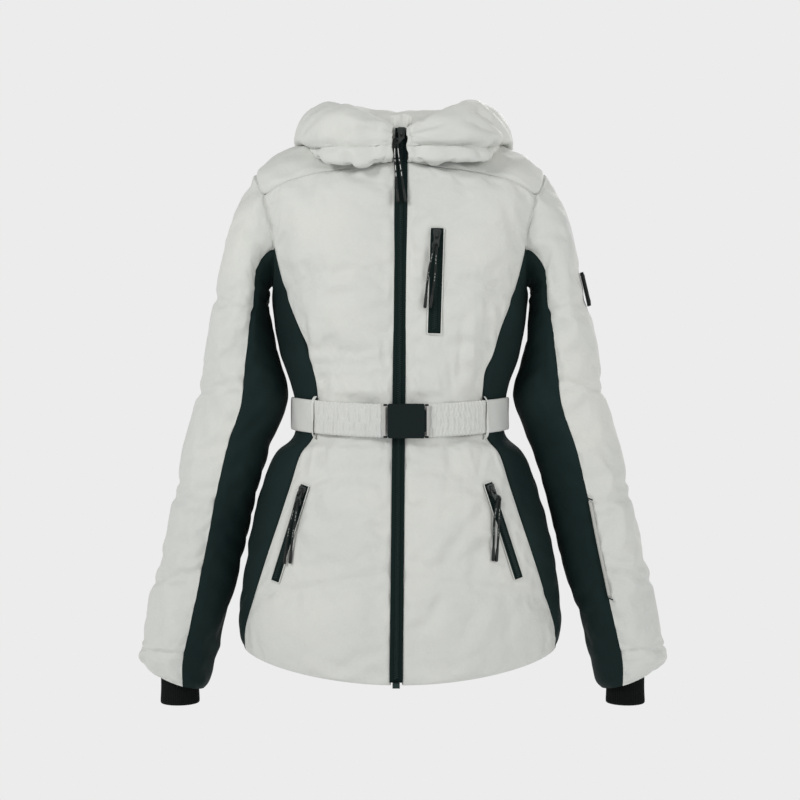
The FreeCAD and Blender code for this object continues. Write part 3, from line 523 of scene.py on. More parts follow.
def subdivide(obj, levels=1):
    modifier = obj.modifiers.new("smooth", "SUBSURF")
    modifier.levels = levels
    modifier.render_levels = levels
    return obj


def attach(piece, body, slot, *replaced):
    """Ties a piece to a body and hides the CAD nodes that it stands for; the slot argument is not used."""
    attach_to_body(piece, body)
    if replaced:
        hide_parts(*replaced)


# ---- cloth ----------------------------------------------------------------------------------
CLOTH_FRAMES = 20
FOLD_GAIN = 1.5           # every drawn fold is lifted by this much more than its table says
WRINKLE_SEED = 5
WRINKLE_MM = 0.5
HOOD_WRINKLE_MM = 0.9
WRINKLE_WAVES, SHORTEST_WAVE, LONGEST_WAVE = 9, 20, 52
QUILT_DEPTH, QUILT_WIDTH, QUILT_HOLD = 2.4, 5.5, 2.6
PUCKER_HEIGHT, PUCKER_WIDTH, PUCKER_RATE = 0.35, 11.0, 0.62


def rumpled(points, normal, amount):
    """Small uneven waves that give the cloth solver somewhere to buckle."""
    rng = np.random.default_rng(WRINKLE_SEED)
    lift = np.zeros(points.shape[:2])
    for _ in range(WRINKLE_WAVES):
        direction = rng.normal(size=3)
        direction /= np.linalg.norm(direction)
        along = points @ direction
        lift += np.sin(2 * np.pi * along / rng.uniform(SHORTEST_WAVE, LONGEST_WAVE) + rng.uniform(0, 6.3))
    return points + normal * (lift * amount / 3)[..., None]


def relax(points, turned, pins, pressure, growth, cap, bending=0.3, wrinkle=WRINKLE_MM):
    """Blows a sheet out between its pinned points with the cloth solver and returns its new points."""
    points = np.where(pins[..., None], points, rumpled(points, outward(points, turned), wrinkle))
    rows, columns = points.shape[:2]
    index = np.arange(rows * columns).reshape(rows, columns)
    work = make_object("cloth_work", points, quads(index), [], turned)
    group = work.vertex_groups.new(name="pins")
    group.add(np.flatnonzero(pins.reshape(-1)).tolist(), 1.0, "REPLACE")
    cloth = work.modifiers.new("cloth", "CLOTH")
    settings = cloth.settings
    settings.quality = 5
    settings.mass = 0.15
    settings.tension_stiffness = settings.compression_stiffness = 12
    settings.shear_stiffness = 5
    settings.bending_stiffness = bending
    settings.air_damping = 1.0
    settings.use_pressure = True
    settings.uniform_pressure_force = pressure
    settings.shrink_min = -growth
    settings.vertex_group_mass = "pins"
    settings.effector_weights.gravity = 0
    cloth.collision_settings.use_collision = False
    cloth.collision_settings.use_self_collision = False
    cloth.point_cache.frame_start = 1
    cloth.point_cache.frame_end = CLOTH_FRAMES
    for step in range(1, CLOTH_FRAMES + 1):
        bpy.context.scene.frame_set(step)
    shaped = work.evaluated_get(bpy.context.evaluated_depsgraph_get()).data
    moved = np.empty(rows * columns * 3)
    shaped.vertices.foreach_get("co", moved)
    bpy.data.objects.remove(work)
    bpy.context.scene.frame_set(1)
    offset = moved.reshape(points.shape) / MM - points
    size = np.linalg.norm(offset, axis=-1, keepdims=True) + 1e-9
    return points + offset * (cap * np.tanh(size / cap) / size)


def along_stroke(points, stroke):
    """Distance of each point from a stroke seen from the front, and its share along the stroke."""
    x0, z0, x1, z1 = stroke[:4]
    a, d = np.array([x0, z0]), np.array([x1 - x0, z1 - z0])
    p = points[..., [0, 2]] - a
    t = (p @ d) / (d @ d)
    nearest = np.clip(t, 0, 1)
    return np.linalg.norm(p - nearest[..., None] * d, axis=-1), t


def creases(points, normal, strokes, facing=-1):
    """Lifts soft folds along strokes (x, z, x, z, half-width, height) on the front or the back."""
    lift = np.zeros(points.shape[:2])
    for stroke in strokes:
        distance, t = along_stroke(points, stroke)
        width, height = stroke[4:6]
        taper = ease((t + 0.1) / 0.35) * ease((1.1 - t) / 0.35)
        lift += FOLD_GAIN * height * taper * np.exp(-(distance / width) ** 2)
    mask = ease((facing * normal[..., 1] + 0.1) / 0.3)
    return points + normal * (lift * mask)[..., None]


def quilted(points, normal, lines, facing=-1):
    """Sinks stitched lines, with small puckers across them; also returns which points are on a line."""
    sink = np.zeros(points.shape[:2])
    on_line = np.zeros(points.shape[:2], bool)
    towards = facing * normal[..., 1] > -0.05
    for line in lines:
        for (x0, z0), (x1, z1) in zip(line, line[1:]):
            distance, t = along_stroke(points, (x0, z0, x1, z1))
            length = math.hypot(x1 - x0, z1 - z0)
            pucker = PUCKER_HEIGHT * np.sin(t * length * PUCKER_RATE + x0)
            pucker *= np.exp(-(distance / PUCKER_WIDTH) ** 2)
            inside = (t > -0.02) & (t < 1.02)
            groove = QUILT_DEPTH * np.exp(-(distance / QUILT_WIDTH) ** 2)
            sink = np.maximum(sink, np.where(towards, groove, 0))
            sink += np.where(towards & inside, pucker, 0)
            on_line |= (distance < QUILT_HOLD) & towards
    return points - normal * sink[..., None], on_line


# ---- torso ----------------------------------------------------------------------------------
PAD_DEPTH = 8.6
LINING_THICKNESS = 0.8
ZIP_FLAT_REACH = 13.0     # the cloth solver leaves a panel alone this near a pocket zip
ZIP_SINK, ZIP_SINK_REACH, ZIP_SINK_MOST = 2.2, 16, 12
SEAM_DROP, SEAM_WIDTH, SEAM_HOLD = 2.2, 9.0, 4.0

# Stitched quilting lines seen from the front: x, z.
FRONT_QUILTS = (
    ((-150, -216), (-95, -190)),
    ((-108, -306), (-46, -308), (-12, -297)),
    ((-112, -456), (-95, -448), (-8, -432)),
    ((8, -430), (58, -441), (112, -450)),
    ((-166, -591), (-99, -581), (-8, -562)),
    ((8, -568), (90, -582), (148, -590), (180, -598)),
    ((150, -225), (104, -205)),
)
BACK_QUILTS = (
    ((-190, -200), (0, -228), (190, -200)),
    ((-150, -300), (0, -322), (150, -300)),
    ((-190, -452), (0, -432), (190, -452)),
    ((-225, -585), (0, -560), (225, -585)),
)
# Soft folds seen from the front: x, z, x, z, half-width, height; negative is a hollow.
FRONT_FOLDS = (
    (-122, -232, -118, -300, 5, -2.4), (-112, -240, -106, -330, 6, 1.8), (-90, -250, -84, -300, 7, -1.5),
    (-96, -320, -92, -345, 4, -1.8), (-70, -322, -62, -346, 5, 1.6), (-34, -316, -22, -346, 4, -2.0),
    (-24, -268, -13, -330, 4, -1.6), (-16, -120, -11, -190, 5, 1.2), (-14, -60, -11, -110, 4, -1.8),
    (12, -300, 30, -345, 5, 1.8), (22, -270, 16, -330, 4, -1.4), (78, -250, 73, -330, 5, -2.4),
    (92, -230, 90, -320, 6, 1.8), (110, -225, 106, -320, 4, -1.8), (120, -230, 112, -330, 5, 1.8),
    (62, -300, 66, -345, 4, -1.8), (44, -318, 50, -346, 4, 1.4), (100, -316, 92, -346, 4, -1.6),
    (132, -100, 150, -170, 6, -1.4), (-140, -110, -150, -175, 6, -1.6), (-128, -180, -110, -192, 5, -1.6),
    (128, -110, 98, -150, 8, 1.0), (60, -398, 64, -440, 5, -2.2), (80, -398, 92, -440, 5, 1.8),
    (-70, -400, -52, -406, 4, -1.6), (-22, -402, -8, -406, 3, -1.8), (14, -402, 30, -408, 3, -1.8),
    (110, -398, 98, -444, 4, -1.8), (-92, -398, -104, -440, 4, -2.4), (-106, -402, -112, -446, 4, 1.8),
    (84, -500, 50, -560, 6, -2.6), (74, -488, 38, -548, 6, 2.0), (96, -470, 58, -540, 5, 1.6),
    (104, -520, 88, -570, 5, -1.8), (62, -512, 18, -566, 6, 1.4), (40, -470, 12, -500, 6, -1.4),
    (56, -588, 24, -640, 7, -2.6), (72, -600, 36, -652, 8, 2.2), (100, -598, 70, -660, 7, -2.4),
    (118, -604, 92, -662, 8, 1.8), (144, -604, 128, -650, 5, -1.8), (36, -576, 14, -600, 6, 1.4),
    (-38, -500, -10, -530, 6, -2.2), (-44, -526, -10, -556, 6, -2.0), (-60, -470, -30, -500, 7, 1.2),
    (-46, -612, -14, -650, 7, -2.0), (-70, -600, -40, -640, 8, 1.5), (-22, -570, -10, -600, 4, -1.6),
    (-112, -600, -96, -640, 8, 1.2), (-140, -640, -110, -668, 6, -1.4), (-96, -672, -60, -682, 5, -1.6),
    (-44, -676, -18, -694, 4, -2.2), (60, -680, 100, -660, 5, -1.4), (-90, -470, -70, -520, 9, 1.2),
)
BACK_FOLDS = (
    (-100, -250, -80, -330, 9, 2.0), (-55, -262, -48, -335, 8, -2.0), (-15, -255, -12, -335, 9, 1.8),
    (35, -260, 30, -338, 8, -2.0), (80, -250, 72, -330, 9, 2.0), (112, -250, 100, -335, 7, -2.0),
    (-120, -398, -138, -445, 7, -2.0), (-70, -400, -78, -440, 8, 1.8), (-18, -400, -20, -436, 7, -1.8),
    (40, -400, 44, -436, 8, 1.8), (95, -400, 108, -442, 7, -2.0), (-150, -470, -110, -560, 12, 2.2),
    (-60, -460, -72, -550, 11, -1.8), (20, -455, 8, -545, 12, 2.0), (90, -465, 118, -560, 11, -2.0),
    (150, -600, 110, -660, 10, 1.8), (-120, -600, -160, -655, 10, -1.8), (-20, -590, -50, -665, 12, 1.8),
    (60, -585, 70, -660, 10, -1.6), (-120, -110, -150, -170, 9, -1.6), (120, -110, 150, -170, 9, -1.6),
    (0, -130, -20, -200, 14, 1.4), (70, -140, 90, -200, 12, -1.2), (-70, -140, -95, -195, 12, 1.2),
)


def pad(name, surface, across, down, turned, quilts=(), folds=(), facing=-1, cap=5.0, pressure=1.2,
        growth=0.035, has_zips=False, finish=WHITE):
    """Padded panel: rounded down into its seams, blown out between its stitching, then creased."""
    base = grid(surface, across, down)
    normal = outward(base, turned)
    edge = edge_distance(base)
    outer = base - normal * (SEAM_DROP * (1 - ease(edge / SEAM_WIDTH)))[..., None]
    outer, on_line = quilted(outer, normal, quilts, facing)
    pins = on_line | (edge < SEAM_HOLD)
    if has_zips:
        pins |= near_pocket_zip(base)
    outer = relax(outer, turned, pins, pressure, growth, cap)
    outer = creases(outer, outward(outer, turned), folds, facing)
    if has_zips:
        outer = sunk_at_zips(outer)
    inner = base - normal * PAD_DEPTH
    made = subdivide(closed(name, outer, inner, turned, [finish]))
    return made


def lining_slab(surface, across, down, turned):
    base = grid(surface, across, down)
    normal = outward(base, turned)
    depth = (LINING_DEPTH + 0.35 * np.sin(base[..., 2] / 17.0 + base[..., 0] / 9.0))[..., None]
    return base - normal * depth, base - normal * (depth + LINING_THICKNESS)


POCKET_ZIPS = ("chest_zip", "hand_zip_left", "hand_zip_right")


def zip_axes(zip_name):
    """Top, bottom, outward direction and half-width of a pocket zip, from its CAD node's vertices."""
    co = np.array([v.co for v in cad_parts[zip_name].data.vertices]) / MM
    centre = co.mean(0)
    _, _, axes = np.linalg.svd(co - centre, full_matrices=False)
    down = axes[0] if axes[0][2] < 0 else -axes[0]
    out = axes[2] if axes[2][1] < 0 else -axes[2]
    reach = (co - centre) @ down
    wide = (co - centre) @ axes[1]
    middle = centre + axes[1] * (wide.max() + wide.min()) / 2
    return middle + down * reach.min(), middle + down * reach.max(), out, (wide.max() - wide.min()) / 2


def sunk_at_zips(points):
    """Lowers a panel round the pocket zips: their tapes lie open and its edges roll up beside them."""
    for zip_name in POCKET_ZIPS:
        top, bottom, out, half_width = zip_axes(zip_name)
        down = (bottom - top) / np.linalg.norm(bottom - top)
        cross = np.cross(down, out)
        rel = points - top
        along, across, height = rel @ down, np.abs(rel @ cross), rel @ out
        length = np.linalg.norm(bottom - top)
        past = np.maximum.reduce([across - half_width - 1.0, -along - 1.0, along - length - 1.0])
        rise = np.clip(past, 0, None)
        allowed = -ZIP_SINK + 0.75 * rise + 0.02 * rise ** 2
        near = (past < ZIP_SINK_REACH) & (points[..., 1] < 0)
        over = np.where(near, np.clip(height - allowed, 0, ZIP_SINK_MOST), 0)
        points = points - out * over[..., None]
    return points


def near_pocket_zip(points):
    """Points that lie flat around the pocket zips."""
    flat = np.zeros(points.shape[:2], bool)
    for zip_name in POCKET_ZIPS:
        top, bottom = zip_axes(zip_name)[:2]
        distance, _ = along_stroke(points, (top[0], top[2], bottom[0], bottom[2]))
        flat |= (distance < ZIP_FLAT_REACH) & (points[..., 1] < 0)
    return flat


def join_slabs(name, slabs, finish):
    pieces = [closed(name + "_part", outer, inner, turned, [finish]) for outer, inner, turned in slabs]
    bm = bmesh.new()
    for piece in pieces:
        bm.from_mesh(piece.data)
        bpy.data.objects.remove(piece)
    mesh = bpy.data.meshes.new(name)
    bm.to_mesh(mesh)
    bm.free()
    for polygon in mesh.polygons:
        polygon.use_smooth = True
    mesh.materials.append(finish)
    made = bpy.data.objects.new(name, mesh)
    bpy.context.collection.objects.link(made)
    return made


def build_torso():
    slabs = []
    tall, short = knots(620, 5.5), knots(460, 7.0)
    for side, sign in SIDES.items():
        turned = sign < 0
        front = pad("front_" + side, front_panel(sign), knots(190, 5.2), tall, turned,
                    FRONT_QUILTS, FRONT_FOLDS, has_zips=True)
        flank = pad("side_" + side, side_panel(sign), knots(130, 7.0), short, turned,
                    finish=DARK, cap=2.5, pressure=0.6, growth=0.015)
        shoulder = pad("yoke_" + side, yoke(sign), knots(300, 6.0), knots(75, 6.0), turned,
                       folds=FRONT_FOLDS, cap=4.0)
        attach(front, "jacket_body", "shell_white", "front_shell_" + side, "wadding_front_" + side)
        attach(flank, "jacket_body", "shell_dark", "side_panel_" + side)
        attach(shoulder, "jacket_body", "shell_white", "yoke_shell_" + side)
        for surface in (front_panel(sign), side_panel(sign), yoke(sign)):
            slabs.append((*lining_slab(surface, knots(180, 12.0), knots(500, 12.0), turned), turned))
    back = pad("back", back_panel, knots(400, 6.5), tall, False, BACK_QUILTS, BACK_FOLDS, facing=1)
    attach(back, "jacket_body", "shell_white", "back_shell", "wadding_back", "wadding_yoke")
    slabs.append((*lining_slab(back_panel, knots(400, 12.0), knots(600, 12.0), False), False))
    lining = join_slabs("body_lining_cloth", slabs, CREAM)
    attach(lining, "jacket_body", "lining_cream", "body_lining", "chest_pocket_bag",
           "hand_pocket_bag_left", "hand_pocket_bag_right")


# ---- sleeves --------------------------------------------------------------------------------
# Quilting rings on the white part: share of the length at the outside, and how far it drops to the seams.
SLEEVE_QUILTS = ((0.235, 0.02), (0.40, -0.02), (0.565, 0.02), (0.735, -0.02), (0.875, 0.02))
SLEEVE_DROP = 3.0
SLEEVE_QUILT_DEPTH, SLEEVE_QUILT_HOLD = 2.6, 3.0
BADGE_START, BADGE_LENGTH = 0.195, 0.055
ARMHOLE_TUCK = 9.0        # the sleeve's sewn edge runs this far in under the body's panels
SLEEVE_LENGTH = 690.0
MM_PER_DEGREE, CHART_LENGTH = 1.1, 680.0


def sleeve_folds(count, seed):
    """Slanting creases down the outside of a sleeve, as strokes in its own chart."""
    rng = np.random.default_rng(seed)
    folds = []
    for k in range(count):
        s = 0.08 + 0.86 * (k + rng.uniform(0, 0.8)) / count
        phi = rng.uniform(-85, 85)
        folds.append((phi, s, phi + rng.uniform(18, 46) * rng.choice((-1, 1)), s + rng.uniform(0.02, 0.075),
                      rng.uniform(5, 9), rng.choice((-1.7, 1.5)) * rng.uniform(0.6, 1.2)))
    return folds


def chart_folds(points, normal, phi, s, folds):
    """Like creases, in a chart of arc length round the sleeve and length along it."""
    lift = np.zeros(points.shape[:2])
    for phi0, s0, phi1, s1, width, height in folds:
        a = np.array([phi0 * MM_PER_DEGREE, s0 * CHART_LENGTH])
        d = np.array([phi1 * MM_PER_DEGREE, s1 * CHART_LENGTH]) - a
        p = np.stack([phi * MM_PER_DEGREE, s * CHART_LENGTH], -1) - a
        t = (p @ d) / (d @ d)
        distance = np.linalg.norm(p - np.clip(t, 0, 1)[..., None] * d, axis=-1)
        taper = ease((t + 0.1) / 0.4) * ease((1.1 - t) / 0.4)
        lift += FOLD_GAIN * height * taper * np.exp(-(distance / width) ** 2)
    return points + normal * lift[..., None]


def sleeve_part(name, side, low, high, round_length, quilts, folds, cap, pressure, growth, finish):
    point = sleeve(side)
    turned = side == "right"
    s, u = np.meshgrid(knots(SLEEVE_LENGTH, 6.0), knots(round_length, 6.0), indexing="ij")
    phi = low(s) + (high(s) - low(s)) * u
    base = point(phi, s)
    normal = outward(base, turned)
    edge = edge_distance(base)
    seams = edge_distance(base, (1, 1, 0, 1))
    outer = base - normal * (SLEEVE_DROP * (1 - ease(seams / SEAM_WIDTH)))[..., None]
    outer[0] += (-ARMHOLE_TUCK * SIDES[side], 0, 0)
    pins = edge < 0.1
    if side == "left":    # the cloth under the badge lies still
        pins |= (np.abs(s - BADGE_START - BADGE_LENGTH / 2) < 0.04) & (np.abs(phi + 9) < 22)
    for middle, drop in quilts:
        ring = middle + drop * np.abs(phi) / 110.0
        off = np.abs(s - ring) * SLEEVE_LENGTH
        outer = outer - normal * (SLEEVE_QUILT_DEPTH * np.exp(-(off / QUILT_WIDTH) ** 2))[..., None]
        pins |= off < SLEEVE_QUILT_HOLD
    outer = relax(outer, turned, pins, pressure, growth, cap)
    outer = chart_folds(outer, outward(outer, turned), phi, s, folds)
    made = subdivide(closed(name, outer, base - normal * PAD_DEPTH, turned, [finish]))
    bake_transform(made)
    return made


def build_sleeves():
    for number, (side, sign) in enumerate(SIDES.items()):
        point = sleeve(side)
        white = sleeve_part("sleeve_white_" + side, side, lambda s: -seam_angle(s), seam_angle, 230,
                            SLEEVE_QUILTS, sleeve_folds(38, seed=11 + number),
                            cap=5.0, pressure=1.3, growth=0.05, finish=WHITE)
        dark = sleeve_part("sleeve_dark_" + side, side, seam_angle, lambda s: 360 - seam_angle(s), 170,
                           (), [(p + 180, *rest) for p, *rest in sleeve_folds(12, seed=31 + number)],
                           cap=2.5, pressure=0.6, growth=0.02, finish=DARK)
        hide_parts("sleeve_shell_" + side, "sleeve_wadding_" + side)
        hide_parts("sleeve_under_" + side)
        s, phi = np.meshgrid(np.linspace(0, 1, 70), np.linspace(0, 360, 41)[:-1], indexing="ij")
        base = point(phi, s)
        normal = outward(base, sign < 0)
        lining = closed("sleeve_lining_cloth_" + side, base - normal * LINING_DEPTH,
                        base - normal * (LINING_DEPTH + LINING_THICKNESS), sign < 0, [CREAM], wrap=True)
        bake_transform(lining)
        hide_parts("sleeve_lining_" + side)
        build_gaiter(side)


GAITER_RIBS, RIB_HEIGHT, KNIT_THICKNESS = 60, 0.55, 2.4


def build_gaiter(side):
    """Knitted wrist gaiter with vertical ribs and a turned end."""
    sign = SIDES[side]
    shift = LEFT_GAITER_SHIFT if side == "left" else 0.0
    v, angle = np.meshgrid(np.linspace(0, 1, 15), np.radians(np.linspace(0, 360, 241)[:-1]), indexing="ij")
    x, z, half_w, half_d = (smooth(GAITER, v, i) for i in range(1, 5))
    roll = 1.3 * ease((v - 0.9) / 0.1)
    rib = RIB_HEIGHT * np.sin(angle * GAITER_RIBS) - roll
    ring = [np.stack([sign * (x + shift) + sign * (half_w + rib - t) * np.cos(angle),
                      (half_d + rib - t) * np.sin(angle), z + 0 * angle], -1) for t in (0.0, KNIT_THICKNESS)]
    cuff = closed("gaiter_" + side, ring[0], ring[1], sign < 0, [KNIT], wrap=True)
    attach(cuff, "sleeve_" + side, "knit_black", "wrist_gaiter_" + side)


# ---- hood -----------------------------------------------------------------------------------
# Rings of the folded hood from the inside of the neck, over the crest and down to the neck's seam.
# Each ring has seven stations from the zip round to the middle of the back: x, y, z.
HOOD = (
    ((9, -83, -40), (38, -70, -34), (56, -42, -20), (64, 0, -8),
     (54, 36, -2), (30, 55, 2), (0, 61, 3)),
    ((9, -85, -14), (42, -73, -6), (66, -46, 8), (78, 0, 18),
     (62, 44, 22), (34, 64, 24), (0, 70, 25)),
    ((9, -91, 2), (46, -84, 12), (80, -56, 25), (96, 0, 33),
     (80, 58, 37), (42, 84, 37), (0, 92, 37)),
    ((10, -98, -8), (54, -99, -2), (104, -68, 14), (128, 0, 20),
     (118, 72, 18), (66, 112, 12), (0, 122, 10)),
    ((10, -100, -24), (64, -102, -22), (116, -74, -14), (142, 2, -8),
     (134, 84, -40), (76, 128, -70), (0, 136, -90)),
    ((10, -98, -30), (66, -97, -31), (112, -70, -26), (139, 3, -17),
     (118, 92, -84), (70, 128, -165), (0, 134, -194)),
    ((10, -97, -33), (60, -95, -35), (102, -69, -29), (120, 2, -10),
     (96, 84, -52), (58, 118, -110), (0, 124, -130)),
    ((10, -97, -38), (60, -100, -42), (108, -75, -36), (124, 0, -12),
     (90, 76, -34), (46, 98, -36), (0, 104, -40)),
    ((10, -97, -48), (56, -101, -56), (108, -76, -44), (122, 0, -19),
     (84, 70, -34), (40, 84, -20), (0, 88, -16)),
    ((10, -91, -50), (50, -88, -52), (92, -62, -38), (108, 0, -18),
     (74, 58, -24), (36, 68, -6), (0, 72, 2)),
)
HOOD_ROWS_PER_RING, HOOD_COLUMNS_PER_STATION = 6, 12
HOOD_LINING_RINGS = 1.6
HOOD_THICKNESS = 3.2
HOOD_RIGHT_SHARE = 0.93       # the wearer's right side lies narrower
# Gathers and folds of the hood seen from the front.
HOOD_FOLDS = (
    (-70, -8, -14, -16, 4.0, -3.4), (-62, -15, -16, -24, 4, 2.8), (-44, 2, -12, -14, 3.5, -3.0),
    (-40, -24, -12, -36, 4, -2.6), (-100, 6, -50, -4, 6, 2.4), (-108, -6, -60, -12, 4, -2.4),
    (-72, -34, -14, -48, 4, -2.8), (-84, -44, -20, -56, 4, 2.2), (-66, -26, -30, -33, 3, 2.0),
    (-92, 16, -66, 2, 5, -2.2), (-112, 14, -88, -12, 5, 2.0), (-122, 0, -104, -18, 4, -2.2),
    (16, -4, 12, -24, 3.0, 3.0), (24, -4, 20, -26, 3, -3.0), (40, 6, 14, -22, 4, 3.0),
    (50, 12, 18, -14, 4, -3.0), (30, -14, 92, 4, 5, -3.4), (22, -26, 72, -14, 4, 3.0),
    (18, -28, 60, -27, 3, -2.6), (24, -40, 92, -44, 3.5, -3.4), (20, -33, 96, -34, 4, 2.8),
    (22, -48, 96, -54, 3.5, 2.2), (60, 10, 112, -4, 5, -3.0), (70, 18, 120, 2, 5, 2.8),
    (84, -10, 126, -20, 4, 2.2), (66, -2, 108, -14, 4, -2.4), (28, -52, 88, -60, 3.5, -2.6),
)


def catmull(rows, t):
    """Smooth curve through rows at whole values of t; rows may hold arrays."""
    rows = np.asarray(rows, float)
    k = np.clip(np.floor(t).astype(int), 0, len(rows) - 2)
    f = (t - k).reshape((-1,) + (1,) * (rows.ndim - 1))
    before, a, b, after = (rows[np.clip(k + d, 0, len(rows) - 1)] for d in (-1, 0, 1, 2))
    return 0.5 * (2 * a + (b - before) * f + (2 * before - 5 * a + 4 * b - after) * f ** 2
                  + (3 * a - before - 3 * b + after) * f ** 3)


def hood_points():
    half = np.array(HOOD, float)
    other = half[:, -2::-1] * np.array([-1, 1, 1])
    left_front = half.copy()
    right_front = other.copy()
    # Both edges are folded lower at the zip, the wearer's left one by more.
    right_front[1:4, -1] += np.array([0, 0, -11.0])
    right_front[1:3, -2] += np.array([0, 0, -3.0])
    left_front[1:4, 0] += np.array([0, 0, -13.0])
    left_front[1:4, 1] += np.array([0, 0, -6.0])
    right_front[..., 0] *= np.where(right_front[..., 0] < -60, HOOD_RIGHT_SHARE, 1.0)
    rings = np.concatenate([left_front, right_front], 1)
    rows = np.linspace(0, len(HOOD) - 1, (len(HOOD) - 1) * HOOD_ROWS_PER_RING + 1)
    stations = np.linspace(0, rings.shape[1] - 1, (rings.shape[1] - 1) * HOOD_COLUMNS_PER_STATION + 1)
    down = catmull(rings, rows)
    return np.swapaxes(catmull(np.swapaxes(down, 0, 1), stations), 0, 1)


def build_chin_guard():
    """Soft flap behind the top of the zip, folded over by its own seam."""
    v, u = np.meshgrid(np.linspace(0, 1, 15), np.linspace(-1, 1, 19), indexing="ij")
    top = 9.0 - 2.5 * u * u + 0.8 * np.sin(u * 5.0)
    z = top + (-26.0 - top) * v
    x = 1.0 + 14.0 * u + 0.9 * np.sin(v * 7.0 + u)
    y = -83.5 + 3.0 * (1 - v) + 1.1 * np.sin(u * 6.0 + v * 3.0) + 0.8 * np.sin(u * 11.0 - v * 4.0)
    outer = np.stack([x, y, z], -1)
    guard = subdivide(closed("chin_guard", outer, outer + (0, 2.6, 0), False, [WHITE]))
    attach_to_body(guard, "jacket_body")


def build_hood():
    base = hood_points()
    rows, columns = base.shape[:2]
    pins = np.zeros((rows, columns), bool)
    pins[[0, -1]] = True
    pins[:, [0, -1]] = True
    outer = relax(base, True, pins, pressure=0.3, growth=0.14, cap=4.5, bending=0.08,
                  wrinkle=HOOD_WRINKLE_MM)
    outer = creases(outer, outward(outer, True), HOOD_FOLDS)
    inner = outer - outward(outer, True) * HOOD_THICKNESS
    lining_rows = int(HOOD_LINING_RINGS * HOOD_ROWS_PER_RING)
    hood = subdivide(closed("hood_cloth", outer, inner, True, [WHITE, CREAM], lining_rows=lining_rows))
    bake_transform(hood)
    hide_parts("hood_left_panel", "hood_right_panel", "hood_crown_panel", "hood_lining",
                "collar_shell", "collar_lining")


# ---- zips -----------------------------------------------------------------------------------
TOOTH_PITCH, TOOTH_W, TOOTH_H, TOOTH_OUT = 2.6, 3.0, 1.5, 1.1
TAPE_UNDER_PANEL = 1.2
WELT_PAST_END, WELT_PAST_SIDE = 1.2, 0.6


def add_box(points, faces, centre, across, up, out, half):
    """Adds a chamfered block to a growing mesh, in its own directions."""
    start = len(points)
    for level, inset in ((-half[2], 0.0), (half[2] * 0.3, 0.0), (half[2], 0.35)):
        for sx, sz in ((-1, -1), (1, -1), (1, 1), (-1, 1)):
            points.append(centre + across * sx * (half[0] - inset) + up * sz * (half[1] - inset)
                          + out * level)
    for ring in (0, 4):
        for k in range(4):
            a, b = start + ring + k, start + ring + (k + 1) % 4
            faces.append((a, b, b + 4, a + 4))
    faces.append(tuple(start + 8 + k for k in range(4)))
    faces.append(tuple(start + k for k in (3, 2, 1, 0)))


def build_teeth(name, line, out):
    """Two rows of interlocked teeth along a line of points."""
    points, faces = [], []
    lengths = np.concatenate([[0], np.cumsum(np.linalg.norm(np.diff(line, axis=0), axis=1))])
    count = int((lengths[-1] - 4) / TOOTH_PITCH)
    for k in range(count):
        at = 2 + (k + 0.5) * TOOTH_PITCH
        centre = np.array([np.interp(at, lengths, line[:, axis]) for axis in range(3)])
        ahead = np.array([np.interp(at + 1, lengths, line[:, axis]) for axis in range(3)])
        up = (centre - ahead) / np.linalg.norm(centre - ahead)
        across = np.cross(up, out)
        for sign in (-1, 1):
            middle = centre + across * sign * 1.15 + up * sign * TOOTH_PITCH / 4 + out * TOOTH_OUT / 2
            add_box(points, faces, middle, across, up, out, (TOOTH_W / 2, TOOTH_H / 2, TOOTH_OUT / 2 + 0.3))
    teeth = make_object(name, np.array(points), faces, [TEETH])
    for polygon in teeth.data.polygons:
        polygon.use_smooth = False
    return teeth


def tape_grid(line, out, half_width, depth_at):
    """Grid across a zip's tape, with a raised cord edge by the teeth and a thin outer edge."""
    across_at = np.array([-1, -0.97, -0.7, -0.5, -0.42, -0.3, 0, 0.3, 0.42, 0.5, 0.7, 0.97, 1]) * half_width
    lift = np.array([-0.5, 0.0, 0.0, 0.1, 0.55, 0.3, 0.1, 0.3, 0.55, 0.1, 0.0, 0.0, -0.5])
    up = -np.gradient(line, axis=0)
    up /= np.linalg.norm(up, axis=1, keepdims=True)
    cross = np.cross(up, out)
    cross /= np.linalg.norm(cross, axis=1, keepdims=True)
    return line[:, None] + cross[:, None] * across_at[None, :, None] + out * (lift - depth_at)[None, :, None]


def build_tape(name, line, out, half_width, outer_depth, inner_depth):
    outer, inner = (tape_grid(line, out, half_width, depth) for depth in (outer_depth, inner_depth))
    return closed(name, outer, inner, False, [TAPE])


def build_main_zip():
    z = np.linspace(ZIP_TOP_Z - 1, ZIP_BOTTOM_Z, 140)
    line = np.stack([zip_x(z), -front_depth(z), z], -1)
    out = np.array([0.0, -1.0, 0.0])
    tape = build_tape("main_zip_tape", line, out, ZIP_HALF_BAND + TAPE_UNDER_PANEL, 0.6, 1.8)
    attach(tape, "jacket_body", "zip_black", "main_zip_tapes")
    attach(build_teeth("main_zip_chain", line, out), "jacket_body", "teeth_black", "main_zip_teeth")


